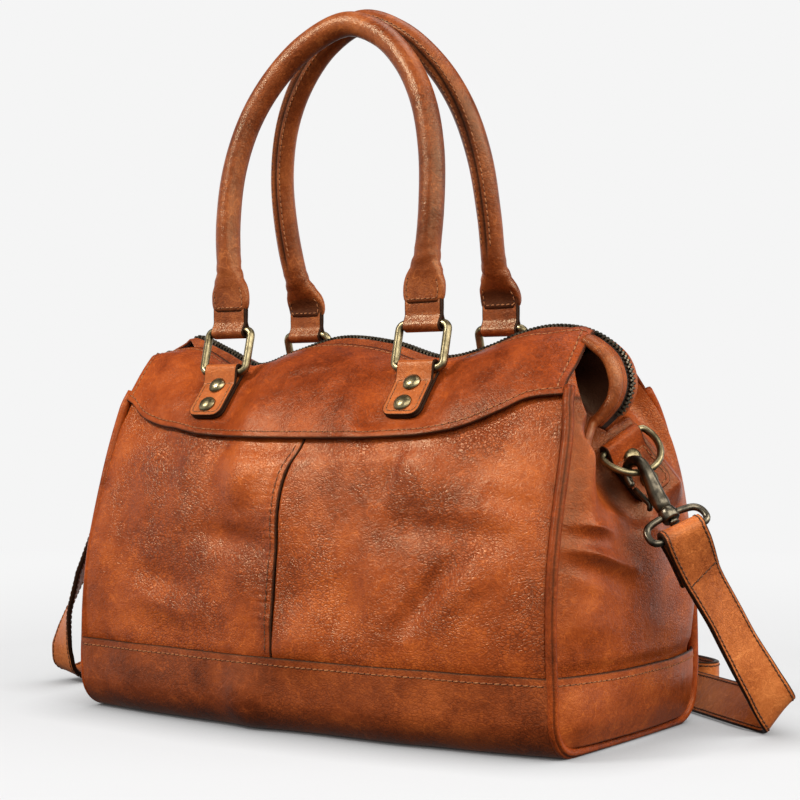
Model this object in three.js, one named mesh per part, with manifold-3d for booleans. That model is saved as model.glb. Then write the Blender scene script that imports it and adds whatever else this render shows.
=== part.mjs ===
// Soft leather satchel with two rolled handles, a zipped top and a long clip-on shoulder strap.
// Millimetres, +Z up. The front faces -Y and the right end +X. The origin is the middle of the base,
// on the surface that the bag stands on.

import * as THREE from "three";
import { mergeVertices } from "three/addons/utils/BufferGeometryUtils.js";
import Module from "manifold-3d";

const wasm = await Module();
wasm.setup();

// Leather and seams
const LEATHER = 1.8;
const GAP = 0.3;
const WIRE_CLEAR = 0.4;
const LAP = 8;
const BAND_HEIGHT = 44;
const BASE_CORNER = 22;
const PANEL_INSET = 0.008;
const MIDDLE_SEAM_X = -8;
const SEAM_LIP = 1.0;
const PIPING_RADIUS = 2.4;
const PIPING_TOP = 196;
const PIPING_OUT = 0.6;
const EDGE_CLEAR = 2.2;
const GUSSET_CLEAR = 3.9;
const GUSSET_BAND_CLEAR = 2 * PIPING_RADIUS + GAP;
const PANEL_TUCK = 1.8;
const PANEL_LINES = { half: 8, whole: 12 };
const PIPING_SIDES = 6;
const PIPING_CORNER_STEPS = 5;
const MERGE_DISTANCE = 1e-4;

// Top of the bag: it leans towards the front and slumps a little to the left
const YOKE_TOP = 225;
const TOP_SHIFT = 4;
const TOP_SHIFT_FROM = 190;
const WAVE_FROM = 186;
const ZIP_Y = -12;
const ZIP_TAPE_WIDTH = 16.8;
const ZIP_TAPE_THICKNESS = 1.2;
const ZIP_TEETH_WIDTH = 5.6;
const ZIP_TEETH_HEIGHT = 1.8;
const FACING_WIDTH = 12;
const FACING_DROP = 3;
const HIDDEN_WIDTH = 6;
const HIDDEN_DROP = 8;
const LEFT_CURL_IN = 5;

// Handles and their fittings
const HANDLE_RADIUS = 7.5;
const HANDLE_EAR = 13.5;
const HANDLE_LEAF = 1.5;
const TAB_WIDTH = 25;
const TAB_LENGTH = 33.5;
const TAB_THICKNESS = 4;
const TAB_CORNER = 6;
const HANDLE_LOOP_TAIL = 7;
const HANDLE_LOOP_CORNER = 1;
const RING_WIRE = 2.5;
const RING_INNER = { width: 28, height: 21 };
const RING_CORNER = 3.8;
const RING_PITCH = RING_INNER.height + 2 * RING_WIRE;
const RIVET_RADIUS = 4.75;
const RIVET_HEIGHT = 3;
const RIVET_SIDES = 7;
const WIRE_SIDES = 6;
const HANDLE_SIDES = 8;
const TAB_RIVETS = [10.4, 25.4];

// Strap, side tabs, D-rings and trigger hooks
const STRAP_WIDTH = 26;
const STRAP_THICKNESS = 3;
const SIDE_TAB_LENGTH = 34;
const SIDE_TAB_WIDTH = 26;
const SIDE_TAB_RIVETS = [10.4, 25.4];
const D_WIRE = 2;
const D_INNER_WIDTH = 30;
const D_DEPTH = 24;
const D_STRAIGHT = 5;
const D_CORNER = { along: 3, out: 0.7, drop: 0.9 };
const D_LIFT = 0.45;
const HOOK_SPIN = 0.5;
const HOOK_ON_RING = 0.63;
const HOOK_REACH = 31;
const HOOK_HALF = 3.2;
const STEM_RADIUS = 1.8;
const EYE_WIRE = 2;
const EYE_WIDTH = 31;
const EYE_BAR = 13.6;
const COLLAR_LOW = -4.6;
const COLLAR_HIGH = 2.3;
const COLLAR_SIDES = 10;
const HOOK_SIDES = 8;

const COLOURS = {
  leather: { color: 0x86461f, roughness: 0.5, metalness: 0 },
  handle: { color: 0x8f4d24, roughness: 0.45, metalness: 0 },
  strap: { color: 0xa06436, roughness: 0.5, metalness: 0 },
  brass: { color: 0x8f7040, roughness: 0.35, metalness: 1 },
  bronze: { color: 0x4a3524, roughness: 0.45, metalness: 0.9 },
  tape: { color: 0x2e1c12, roughness: 0.85, metalness: 0 },
};

const { lerp, clamp, smoothstep } = THREE.MathUtils;
const vec = (x, y, z) => new THREE.Vector3(x, y, z);
const unit = (x, y, z) => vec(x, y, z).normalize();
const bell = (distance, reach) => Math.exp(-((distance / reach) ** 2));
const steps = (count, from = 0, to = 1) =>
  Array.from({ length: count + 1 }, (_, i) => lerp(from, to, i / count));

// Rows of numbers under named columns.
function table(names, rows) {
  const keys = names.split(" ");
  return rows.map((row) => Object.fromEntries(row.map((value, i) => [keys[i], value])));
}

// Smooth curve through a table: the value of one column where the column `by` is t.
function column(rows, by, name) {
  const slopes = rows.map((row, i) => {
    const before = rows[Math.max(i - 1, 0)];
    const after = rows[Math.min(i + 1, rows.length - 1)];
    return (after[name] - before[name]) / (after[by] - before[by]);
  });
  return (t) => {
    let i = 0;
    while (i < rows.length - 2 && t > rows[i + 1][by]) i++;
    const span = rows[i + 1][by] - rows[i][by];
    const k = clamp((t - rows[i][by]) / span, 0, 1);
    const rest = 1 - k;
    const values = rows[i][name] * (1 + 2 * k) * rest * rest + rows[i + 1][name] * (3 - 2 * k) * k * k;
    return values + span * k * rest * (slopes[i] * rest - slopes[i + 1] * k);
  };
}

// Front and back of the body: distance of the middle and of the piped edges from the bag's centre plane,
// and half the width, at each height.
const FRONT = table("z middle edge half_width", [
  [11, 99, 86.8, 165],
  [26, 100.5, 87.3, 166.5],
  [44, 101, 87.5, 166],
  [70, 100.5, 87.2, 165.2],
  [100, 98, 83.8, 164.4],
  [130, 92, 76.5, 163.6],
  [155, 85.5, 69, 163.2],
  [175, 77, 62.5, 162],
  [190, 67.5, 58, 159.5],
  [203, 56, 48, 157.5],
  [213, 45, 38, 156],
  [220, 34, 30, 154.5],
  [225, 22, 23, 154],
]);
const BACK = table("z middle edge half_width", [
  [11, 95, 83.5, 165],
  [26, 97.5, 85.5, 166.5],
  [44, 99, 87, 166],
  [70, 99, 87.2, 165.2],
  [100, 96, 83.8, 164.4],
  [130, 89, 74, 163.6],
  [155, 80, 63, 163.2],
  [175, 69, 54, 162],
  [190, 58, 47, 159.5],
  [203, 45, 36, 157.5],
  [213, 32, 25, 156],
  [220, 17, 14, 154.5],
  [225, -2, -1, 154],
]);
const EDGE_POWER = 2.6;

// Height of the yokes' lower seam across the width, lowest in the middle.
const YOKE_SEAM = table("x z", [
  [-166, 192.5],
  [-153, 188.5],
  [-140, 181],
  [-125, 176.5],
  [-105, 173],
  [-85, 170.5],
  [-60, 169],
  [0, 168],
  [60, 169],
  [85, 171],
  [105, 175.6],
  [125, 183.7],
  [140, 190],
  [166, 192.5],
]);

// Waves of the top edge: it dips at the tabs.
const TOP_WAVES = table("x lift reach", [
  [127, 7, 30],
  [-137, 7, 30],
  [-20, 4, 34],
  [-86, -12, 26],
  [56, -10, 28],
]);

// Soft dents and swellings of the front: place, reach and depth.
const FRONT_DENTS = table("x z reach_x reach_z depth", [
  [-100, 95, 45, 38, 3.5],
  [75, 105, 55, 30, 4],
  [-30, 130, 22, 50, -2.5],
  [110, 60, 40, 26, -2],
]);

// Gusset at each height: how far its folds stand out from the line of the pipings.
const GUSSET = table("z fold valley ridge back_valley back_fold", [
  [6, 4, 6, 7, 6, 4],
  [20, 8, 12, 13, 12, 8],
  [44, 7, 14, 16, 14, 8],
  [75, 10, 18, 21, 18, 11],
  [105, 12, 18, 22, 17, 12],
  [125, 13, 13, 20, 14, 13],
  [143, 14, 2, 15, 8, 13],
  [158, 14, -14, 5, -4, 12],
  [172, 11, -28, -6, -16, 10],
  [186, 6, -38, -18, -26, 6],
  [200, 0, -44, -32, -34, 1],
  [214, -4, -46, -40, -40, -4],
  [222, -6, -42, -38, -36, -6],
]);
const GUSSET_PLACES = [-1, -0.8, -0.42, 0, 0.42, 0.8, 1];
const GUSSET_TOP = 220;
const GUSSET_DIP = 10;
const GUSSET_DIP_FROM = 196;
const GUSSET_DIP_FLAT = 0.5;
const GUSSET_DIP_END = 0.95;

// Zip line: its height along the top, and the curl of its ends down over the gussets.
const ZIP_RIDGE = table("x z", [
  [-137, 230.5],
  [-112, 221.5],
  [-86, 211.5],
  [-56, 219],
  [-20, 227],
  [18, 223],
  [54, 213.5],
  [84, 218.5],
  [106, 226],
  [127, 229.5],
]);
const ZIP_END = table("x y z", [
  [146, 0, 227.5],
  [161, 0, 220.5],
  [171, 0, 211],
  [175, 0, 198],
  [173, -2, 187],
  [167, -5, 178],
  [161, -7, 172],
]);

// Half of a handle: half its span at each share of its height.
const HANDLE_ARCH = table("share span", [
  [0, 0],
  [0.06, 0],
  [0.16, 0.02],
  [0.33, 0.05],
  [0.52, 0.02],
  [0.69, -0.1],
  [0.83, -0.31],
  [0.945, -0.62],
]);

// Where each handle stands: its middle, half span, the middle of its tabs' loops, the lean of its rings,
// its top, how early it leans over (`lean_power`), and how much narrower its arch is than its feet.
const HANDLES = {
  front: {
    side: -1, x: -9.3, half: 71.5, loop_y: -54, loop_z: 208, ring_lean: 0.25,
    top_y: -26, top_z: 417.5, lean_power: 2, pinch: 0,
  },
  back: {
    side: 1, x: -10, half: 74, loop_y: 41, loop_z: 209, ring_lean: 0.3,
    top_y: -7, top_z: 422.5, lean_power: 0.65, pinch: 1,
  },
};
const TAB_SLOPE = { front: unit(0, -0.633, -0.774), back: unit(0, 0.72, -0.69) };

// Side tab on the right gusset: the middle of its loop, the loop's direction and the way the leaf lies.
const SIDE_TAB = {
  place: vec(166, -6, 166),
  bar: unit(0.37, 0.775, 0.51),
  leaf: unit(0.556, 0.255, -0.791),
};
const HOOK_AXIS = unit(0.698, -0.168, -0.693);

// Route of the strap from the right hook over the floor behind the bag to the left hook, with the
// direction of its width.
const STRAP_ROUTE = table("x y z wide_x wide_y wide_z", [
  [212, 0, 92, 0.3, 0.9, 0.32],
  [217, 14, 73, 0.27, 0.88, 0.4],
  [222, 29, 52, 0.3, 0.76, 0.58],
  [228, 45, 30, 0.42, 0.48, 0.77],
  [231.5, 57, 14.5, 0.55, 0.2, 0.8],
  [226, 66, 11.6, 0.5, 0.3, 0.8],
  [211, 74, 11.8, 0.44, 0.38, 0.82],
  [184, 94, 11.7, 0.4, 0.42, 0.82],
  [152, 118, 11.6, 0.4, 0.45, 0.8],
  [112, 141, 12.4, 0.25, 0.4, 0.88],
  [72, 152, 13.2, 0, 0.1, 1],
  [44, 156, 13.3, 0, 0, 1],
  [33, 164, 13.3, 0, 0, 1],
  [43, 173, 13.3, 0, 0, 1],
  [74, 172, 13.3, 0, 0, 1],
  [112, 160, 13.3, 0, 0, 1],
  [138, 145, 13.3, 0, 0, 1],
  [150, 145, 13.3, 0, 0, 1],
  [149, 157, 13.3, 0, 0, 1],
  [116, 180, 13.3, 0, 0, 1],
  [60, 194, 13.3, 0, 0, 1],
  [-30, 190, 13.3, 0, 0, 1],
  [-110, 166, 13.3, 0, 0, 1],
  [-176, 120, 13.3, 0, 0, 1],
  [-214, 76, 13.3, -0.1, 0, 1],
  [-236, 46, 12.4, -0.5, 0.1, 0.84],
  [-248, 20, 8.4, -0.82, 0.2, 0.5],
  [-252, -2, 5.2, -0.95, 0.2, 0.2],
  [-252, -16, 10.5, -0.96, 0.24, 0.1],
  [-249.5, -22, 22, -0.94, 0.3, 0],
  [-246, -24, 34, -0.86, 0.44, -0.06],
  [-239, -24, 52, -0.68, 0.7, 0],
  [-227, -22.5, 78, -0.42, 0.86, 0.2],
]);

// Closed solid from points and triangles, turned so that its faces point outwards.
function solid(points, triangles) {
  let volume = 0;
  for (const [a, b, c] of triangles) volume += points[a].dot(points[b].clone().cross(points[c]));
  const faces = volume < 0 ? triangles.map(([a, b, c]) => [a, c, b]) : triangles;
  const geometry = new THREE.BufferGeometry();
  const numbers = points.flatMap((point) => point.toArray());
  geometry.setAttribute("position", new THREE.Float32BufferAttribute(numbers, 3));
  geometry.setIndex(faces.flat());
  geometry.computeVertexNormals();
  return geometry;
}

// Wall between two offsets from the surface point(u, v), on the grid lines us and vs.
function wall(point, us, vs, inner, outer) {
  const reach = 1e-3;
  const near = (value, list) => [Math.max(value - reach, list[0]), Math.min(value + reach, list.at(-1))];
  const points = [];
  for (const offset of [inner, outer]) {
    for (const v of vs) {
      for (const u of us) {
        const [u0, u1] = near(u, us);
        const [v0, v1] = near(v, vs);
        const along = point(u1, v).sub(point(u0, v));
        const normal = along.cross(point(u, v1).sub(point(u, v0))).normalize();
        points.push(point(u, v).addScaledVector(normal, typeof offset === "number" ? offset : offset(u, v)));
      }
    }
  }
  const wide = us.length;
  const layer = wide * vs.length;
  const triangles = [];
  const quad = (a, b, c, d) => triangles.push([a, b, c], [a, c, d]);
  for (let j = 0; j + 1 < vs.length; j++) {
    for (let i = 0; i + 1 < wide; i++) {
      const a = j * wide + i;
      quad(a, a + wide, a + wide + 1, a + 1);
      quad(layer + a, layer + a + 1, layer + a + wide + 1, layer + a + wide);
    }
  }
  for (let i = 0; i + 1 < wide; i++) {
    const far = (vs.length - 1) * wide + i;
    quad(i, i + 1, layer + i + 1, layer + i);
    quad(far + 1, far, layer + far, layer + far + 1);
  }
  for (let j = 0; j + 1 < vs.length; j++) {
    const a = j * wide;
    const b = a + wide - 1;
    quad(a + wide, a, layer + a, layer + a + wide);
    quad(b, b + wide, layer + b + wide, layer + b);
  }
  return solid(points, triangles);
}

// Solid through a row of rings with the same number of points, closed by flat ends or joined into a loop.
function loft(rings, cyclic = false) {
  const sides = rings[0].length;
  const triangles = [];
  for (let i = 0; i < (cyclic ? rings.length : rings.length - 1); i++) {
    for (let j = 0; j < sides; j++) {
      const a = i * sides + j;
      const b = i * sides + ((j + 1) % sides);
      const c = ((i + 1) % rings.length) * sides + j;
      const d = ((i + 1) % rings.length) * sides + ((j + 1) % sides);
      triangles.push([a, b, d], [a, d, c]);
    }
  }
  const last = (rings.length - 1) * sides;
  for (let j = 1; j + 1 < sides && !cyclic; j++) {
    triangles.push([0, j + 1, j], [last, last + j, last + j + 1]);
  }
  return solid(rings.flat(), triangles);
}

// Directions along a path: forwards, and the part of each hint that is square to it.
function frames(path, hints, cyclic = false) {
  const count = path.length;
  return path.map((place, i) => {
    const before = path[cyclic ? (i + count - 1) % count : Math.max(i - 1, 0)];
    const after = path[cyclic ? (i + 1) % count : Math.min(i + 1, count - 1)];
    const forward = after.clone().sub(before).normalize();
    const hint = Array.isArray(hints) ? hints[i] : hints;
    const side = hint.clone().addScaledVector(forward, -hint.dot(forward)).normalize();
    return { place, forward, side, up: forward.clone().cross(side) };
  });
}

// Ellipse of points square to a path.
function ellipse({ place, side, up }, a, b, count) {
  return steps(count - 1, 0, (2 * Math.PI * (count - 1)) / count).map((angle) =>
    place.clone().addScaledVector(side, a * Math.cos(angle)).addScaledVector(up, b * Math.sin(angle)));
}

// Round rod along a path whose bends lie roughly square to the hint.
function rod(path, radius, count, hint, cyclic = false) {
  const size = typeof radius === "number" ? () => radius : radius;
  return loft(frames(path, hint, cyclic).map((frame, i) => ellipse(frame, size(i), size(i), count)), cyclic);
}

// Flat band along a path: sides and thickness are offsets along the width and the normal.
function band(framed, from, to, low, high) {
  return loft(framed.map(({ place, side, up }) =>
    [[from, low], [to, low], [to, high], [from, high]].map(([across, out]) =>
      place.clone().addScaledVector(side, across).addScaledVector(up, out))));
}

// Mirror image across the bag's middle plane.
function mirrored(geometry) {
  const copy = geometry.clone().applyMatrix4(new THREE.Matrix4().makeScale(-1, 1, 1));
  const index = Array.from(copy.index.array);
  for (let i = 0; i < index.length; i += 3) [index[i + 1], index[i + 2]] = [index[i + 2], index[i + 1]];
  copy.setIndex(index);
  copy.computeVertexNormals();
  return copy;
}

// Joins and cuts of closed meshes.
function toManifold(geometry) {
  const bare = geometry.clone();
  bare.deleteAttribute("normal");
  bare.deleteAttribute("uv");
  const merged = mergeVertices(bare, MERGE_DISTANCE);
  const vertProperties = new Float32Array(merged.attributes.position.array);
  const triVerts = new Uint32Array(merged.index.array);
  return new wasm.Manifold(new wasm.Mesh({ numProp: 3, vertProperties, triVerts }));
}
function fromManifold(manifold) {
  const { vertProperties, triVerts } = manifold.getMesh();
  const geometry = new THREE.BufferGeometry();
  geometry.setAttribute("position", new THREE.BufferAttribute(vertProperties, 3));
  geometry.setIndex(new THREE.BufferAttribute(triVerts, 1));
  geometry.computeVertexNormals();
  return geometry;
}
const fused = (first, ...others) =>
  fromManifold(others.reduce((sum, next) => sum.add(toManifold(next)), toManifold(first)));
const common = (first, second) => fromManifold(toManifold(first).intersect(toManifold(second)));

const bag = new THREE.Group();
function add(name, geometry, finish, parent = bag) {
  const mesh = new THREE.Mesh(geometry, new THREE.MeshStandardMaterial(COLOURS[finish]));
  mesh.name = name;
  parent.add(mesh);
  return mesh;
}

// Frame of a fitting: x along its loop, y out of its leaf, z from the leaf towards the loop.
function fittingFrame(place, across, leaf) {
  const z = leaf.clone().negate();
  return { place, x: across, y: z.clone().cross(across), z };
}
function placed(frame) {
  const group = new THREE.Group();
  group.matrix.makeBasis(frame.x, frame.y, frame.z).setPosition(frame.place);
  group.matrix.decompose(group.position, group.quaternion, group.scale);
  bag.add(group);
  return group;
}
const inFrame = (geometry, frame) =>
  geometry.applyMatrix4(new THREE.Matrix4().makeBasis(frame.x, frame.y, frame.z).setPosition(frame.place));

const LOOP_HOLE = RING_WIRE + WIRE_CLEAR;
const LOOP_OUTER = LOOP_HOLE + LEATHER;
const TAB_SEAT = LOOP_OUTER + WIRE_CLEAR;
const SIDE_TAB_SEAT = TAB_SEAT + GAP - LEATHER;
const tabFrames = { front: [], back: [] };
for (const [name, handle] of Object.entries(HANDLES)) {
  for (const end of [-1, 1]) {
    const place = vec(handle.x + end * handle.half, handle.loop_y, handle.loop_z);
    tabFrames[name].push(fittingFrame(place, vec(handle.side, 0, 0), TAB_SLOPE[name]));
  }
}
const sideFrame = fittingFrame(SIDE_TAB.place, SIDE_TAB.bar.clone().negate(), SIDE_TAB.leaf);
if (sideFrame.y.x < 0) {
  sideFrame.x.negate();
  sideFrame.y.negate();
}

// Soft leather lies flat under a stiff tab: how far past the loop and the leaf's end, to which distances
// from the leaf's middle line it is quite flat and still pulled, and over what length the ends fade.
const SEAT = { past_loop: 8, past_leaf: 3, flat: 17, pulled: 36, fade: 14 };

// Pulls a point near the tab to the plane below its leaf.
function seated(point, frame, length, depth) {
  const from = point.clone().sub(frame.place);
  const across = Math.abs(from.dot(frame.x));
  const down = -from.dot(frame.z);
  const beyond = Math.max(-SEAT.past_loop - down, down - length - SEAT.past_leaf, 0);
  const weight = (1 - smoothstep(across, SEAT.flat, SEAT.pulled)) * (1 - smoothstep(beyond, 0, SEAT.fade));
  return point.addScaledVector(frame.y, -(from.dot(frame.y) + depth) * weight);
}

function topWave(x, z) {
  const lift = TOP_WAVES.reduce((sum, wave) => sum + wave.lift * bell(x - wave.x, wave.reach), 0);
  return lift * smoothstep(z, WAVE_FROM, YOKE_TOP);
}
const topShift = (z) => TOP_SHIFT * smoothstep(z, TOP_SHIFT_FROM, YOKE_TOP);

function faceSurface(rows, side, dents, frameList) {
  const middle = column(rows, "z", "middle");
  const edge = column(rows, "z", "edge");
  const half = column(rows, "z", "half_width");
  const surface = (u, z) => {
    const x = half(z) * u - topShift(z);
    const dent = dents.reduce((sum, row) =>
      sum + row.depth * bell(x - row.x, row.reach_x) * bell(z - row.z, row.reach_z), 0);
    const crown = 1 - Math.abs(u) ** EDGE_POWER;
    const out = edge(z) + (middle(z) - edge(z) - dent) * crown;
    const point = vec(x, side * out, z + topWave(x, z));
    return frameList.reduce((moved, frame) => seated(moved, frame, TAB_LENGTH, TAB_SEAT), point);
  };
  return { surface, edge, half };
}
const faces = {
  front: faceSurface(FRONT, -1, FRONT_DENTS, tabFrames.front),
  back: faceSurface(BACK, 1, [], tabFrames.back),
};
const edgeU = (face, z) => 1 - EDGE_CLEAR / face.half(z);
const SEAM_LEVEL = 180;
const yokeSeam = column(YOKE_SEAM, "x", "z");
const seamHeight = (face, u) => yokeSeam(face.half(SEAM_LEVEL) * u);

// Body walls. The yokes and the base band lie on top, and the panels one layer below them.
const OUTER_LAYER = [-LEATHER, 0];
const PANEL_LAYER = [-2 * LEATHER - GAP, -LEATHER - GAP];
const YOKE_LINES = [
  -1, -0.94, -0.84, -0.73, -0.6, -0.53, -0.4, -0.3, -0.14,
  0.02, 0.17, 0.29, 0.4, 0.5, 0.6, 0.72, 0.84, 0.94, 1,
];
const YOKE_ROWS = [0, 0.2, 0.38, 0.55, 0.72, 0.88, 1];
const PANEL_ROWS = [0, 0.08, 0.2, 0.35, 0.5, 0.65, 0.78, 0.87, 0.93, 1];

function yoke(name) {
  const face = faces[name];
  const turn = -HANDLES[name].side;
  const point = (u, k) => {
    const z = lerp(seamHeight(face, u), YOKE_TOP, k);
    return face.surface(turn * u * edgeU(face, z), z);
  };
  const lines = name === "front" ? YOKE_LINES : YOKE_LINES.map((u) => -u).reverse();
  return wall(point, lines, YOKE_ROWS, ...OUTER_LAYER);
}
add("front_yoke", yoke("front"), "leather");
add("back_yoke", yoke("back"), "leather");

// Shares of a panel's height: where its lapped edges come out of the tuck, and where the raised lip of the
// middle seam fades in and out. `inward` is the share of its width where the lip starts to rise.
const TUCK = { low_end: 0.09, high_start: 0.84, high_end: 0.92 };
const LIP = { low_start: 0.12, low_end: 0.2, high_start: 0.8, high_end: 0.88, inward: 0.75 };

function panel(name, from, to, lines, lip) {
  const face = faces[name];
  const turn = -HANDLES[name].side;
  const point = (k, v) => {
    const u0 = lerp(from, to, k);
    const z = lerp(BAND_HEIGHT - LAP, seamHeight(face, u0) + LAP, v);
    return face.surface(turn * u0 * (edgeU(face, z) - PANEL_INSET), z);
  };
  const clearOfLaps = (v) => smoothstep(v, LIP.low_start, LIP.low_end)
    * (1 - smoothstep(v, LIP.high_start, LIP.high_end));
  const tuck = (v) => PANEL_TUCK
    * (1 - smoothstep(v, 0, TUCK.low_end) + smoothstep(v, TUCK.high_start, TUCK.high_end));
  const inner = (k, v) => PANEL_LAYER[0] - tuck(v);
  const raised = (k, v) => lip * SEAM_LIP * smoothstep(k, LIP.inward, 1) * clearOfLaps(v);
  const outer = (k, v) => PANEL_LAYER[1] - tuck(v) + raised(k, v);
  return wall(point, steps(lines), PANEL_ROWS, inner, outer);
}
const SEAM_WIDTH_LEVEL = 100;
const seamU = MIDDLE_SEAM_X / faces.front.half(SEAM_WIDTH_LEVEL);
const seamGapU = GAP / faces.front.half(SEAM_WIDTH_LEVEL);
add("front_panel_left", panel("front", -1, seamU - seamGapU, PANEL_LINES.half, 1), "leather");
add("front_panel_right", panel("front", seamU + seamGapU, 1, PANEL_LINES.half, 0), "leather");
add("back_panel", panel("back", -1, 1, PANEL_LINES.whole, 0), "leather");

// The base band runs from the back over the floor to the front in one piece.
const FLOOR_SHARE = 0.2;
const CORNER_SHARE = 0.4;
function baseBand() {
  const point = (u, v) => {
    const name = v < 0 ? "back" : "front";
    const face = faces[name];
    const k = Math.abs(v);
    const z = lerp(BASE_CORNER, BAND_HEIGHT, clamp((k - CORNER_SHARE) / (1 - CORNER_SHARE), 0, 1));
    const place = face.surface(u * edgeU(face, z), z);
    const angle = (1 - clamp((k - FLOOR_SHARE) / (CORNER_SHARE - FLOOR_SHARE), 0, 1)) * Math.PI * 0.5;
    const inward = BASE_CORNER * (1 - Math.cos(angle));
    place.y -= Math.sign(place.y) * inward;
    place.z -= BASE_CORNER * Math.sin(angle);
    place.y *= Math.min(k / FLOOR_SHARE, 1);
    return place;
  };
  const half = [0.1, FLOOR_SHARE, 0.25, 0.3, 0.35, CORNER_SHARE, 0.7, 1];
  const vs = [...half.map((k) => -k).reverse(), ...half];
  const us = [-1, -0.93, -0.8, -0.6, -0.36, -0.12, 0.12, 0.36, 0.6, 0.8, 0.93, 1];
  return wall(point, us, vs, ...OUTER_LAYER);
}
add("base_band", baseBand(), "leather");

// Gussets: built for the right end, and mirrored for the left.
function gussetSurface(side, clear) {
  const names = ["fold", "valley", "ridge", "back_valley", "back_fold"];
  const columns = names.map((name) => column(GUSSET, "z", name));
  return (s, z) => {
    const across = GUSSET_PLACES.map((place, i) => ({ place, out: columns[i - 1]?.(z) ?? 0 }));
    const height = Math.max(z, BASE_CORNER);
    const dip = GUSSET_DIP * smoothstep(z, GUSSET_DIP_FROM, GUSSET_TOP)
      * (1 - smoothstep(Math.abs(s), GUSSET_DIP_FLAT, GUSSET_DIP_END));
    const rounded = BASE_CORNER - clear;
    const drop = Math.min(Math.max(BASE_CORNER + GAP - z, 0), rounded);
    const inset = BASE_CORNER - Math.sqrt(rounded ** 2 - drop ** 2);
    const front = -faces.front.edge(height) + inset;
    const back = faces.back.edge(height) - inset;
    const x = faces.front.half(height) + PIPING_OUT - side * topShift(z) + column(across, "place", "out")(s);
    const point = vec(x, lerp(front, back, (s + 1) / 2), z - dip);
    return seated(point, sideFrame, SIDE_TAB_LENGTH, SIDE_TAB_SEAT);
  };
}
const GUSSET_LINES = [-1, -0.9, -0.78, -0.6, -0.42, -0.24, -0.08, 0.1, 0.28, 0.5, 0.76, 0.9, 1];
const GUSSET_ROWS = [
  BAND_HEIGHT - LAP, BAND_HEIGHT + 1, 64, 88, 112, 128, 141, 153, 163, 173, 185, 198, 211, GUSSET_TOP,
];
const PIPING_ROWS = [PIPING_TOP, 188, 178, 166, 152, 136, 118, 100, 82, 62, 44, 33, BASE_CORNER];
const GUSSET_BAND_ROWS = [5.5, 10, 18, 31, BAND_HEIGHT];

function piping(side) {
  const leg = (face, sign) => PIPING_ROWS.map((z) =>
    vec(face.half(z) + PIPING_OUT - side * topShift(z), sign * (face.edge(z) - PIPING_RADIUS), z));
  const corner = (face, sign) => steps(PIPING_CORNER_STEPS).slice(1).map((share) => {
    const angle = share * Math.PI * 0.5;
    const radius = BASE_CORNER - PIPING_RADIUS;
    const y = face.edge(BASE_CORNER) - BASE_CORNER + radius * Math.cos(angle);
    return vec(face.half(BASE_CORNER) + PIPING_OUT, sign * y, BASE_CORNER - radius * Math.sin(angle) + GAP);
  });
  const front = [...leg(faces.front, -1), ...corner(faces.front, -1)];
  const back = [...leg(faces.back, 1), ...corner(faces.back, 1)];
  return rod([...front, ...back.reverse()], PIPING_RADIUS, PIPING_SIDES, vec(1, 0, 0));
}

for (const [name, side] of [["right", 1], ["left", -1]]) {
  const turned = side > 0 ? (geometry) => geometry : mirrored;
  const surface = gussetSurface(side, GUSSET_CLEAR);
  const lowSurface = gussetSurface(side, GUSSET_BAND_CLEAR);
  const tuck = (z) => PANEL_TUCK * (1 - smoothstep(z, BAND_HEIGHT, BAND_HEIGHT + LAP));
  const layer = PANEL_LAYER.map((offset) => (s, z) => offset - tuck(z));
  add(`gusset_${name}`, turned(wall(surface, GUSSET_LINES, GUSSET_ROWS, ...layer)), "leather");
  const lower = wall(lowSurface, GUSSET_LINES, GUSSET_BAND_ROWS, ...OUTER_LAYER);
  add(`gusset_band_${name}`, turned(lower), "leather");
  add(`piping_${name}`, turned(piping(side)), "leather");
}

// Zip: its line runs from the curled left end over the top to the curled right end.
function zipLine() {
  const curl = (side) => ZIP_END.map((row) =>
    vec(side > 0 ? row.x : LEFT_CURL_IN - row.x, ZIP_Y + row.y, row.z));
  const ridge = ZIP_RIDGE.map((row) => vec(row.x, ZIP_Y, row.z));
  return new THREE.CatmullRomCurve3([...curl(-1).reverse(), ...ridge, ...curl(1)], false, "centripetal");
}
const zipCurve = zipLine();
const ZIP_STEPS = 40;
const zipFrames = frames(zipCurve.getSpacedPoints(ZIP_STEPS), vec(0, 1, 0));
const TEETH_BASE = 2 * GAP;
const TEETH_TOP = TEETH_BASE + ZIP_TEETH_HEIGHT;
const SLIDER_AT = 5;
const SLIDER_HALF = 5;
const SLIDER_BASE = TEETH_TOP + GAP;
const SLIDER_HEIGHT = 3;
const SLIDER_TOP = SLIDER_BASE + SLIDER_HEIGHT;
const tape = band(zipFrames, -ZIP_TAPE_WIDTH / 2, ZIP_TAPE_WIDTH / 2, -ZIP_TAPE_THICKNESS, 0);
add("zip_tape", tape, "tape");
const teethFrames = zipFrames.slice(1, -1);
const teeth = band(teethFrames, -ZIP_TEETH_WIDTH / 2, ZIP_TEETH_WIDTH / 2, TEETH_BASE, TEETH_TOP);
add("zip_teeth", teeth, "bronze");
const sliderFrames = zipFrames.slice(SLIDER_AT - 1, SLIDER_AT + 1);
add("zip_slider", band(sliderFrames, -SLIDER_HALF, SLIDER_HALF, SLIDER_BASE, SLIDER_TOP), "bronze");

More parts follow.
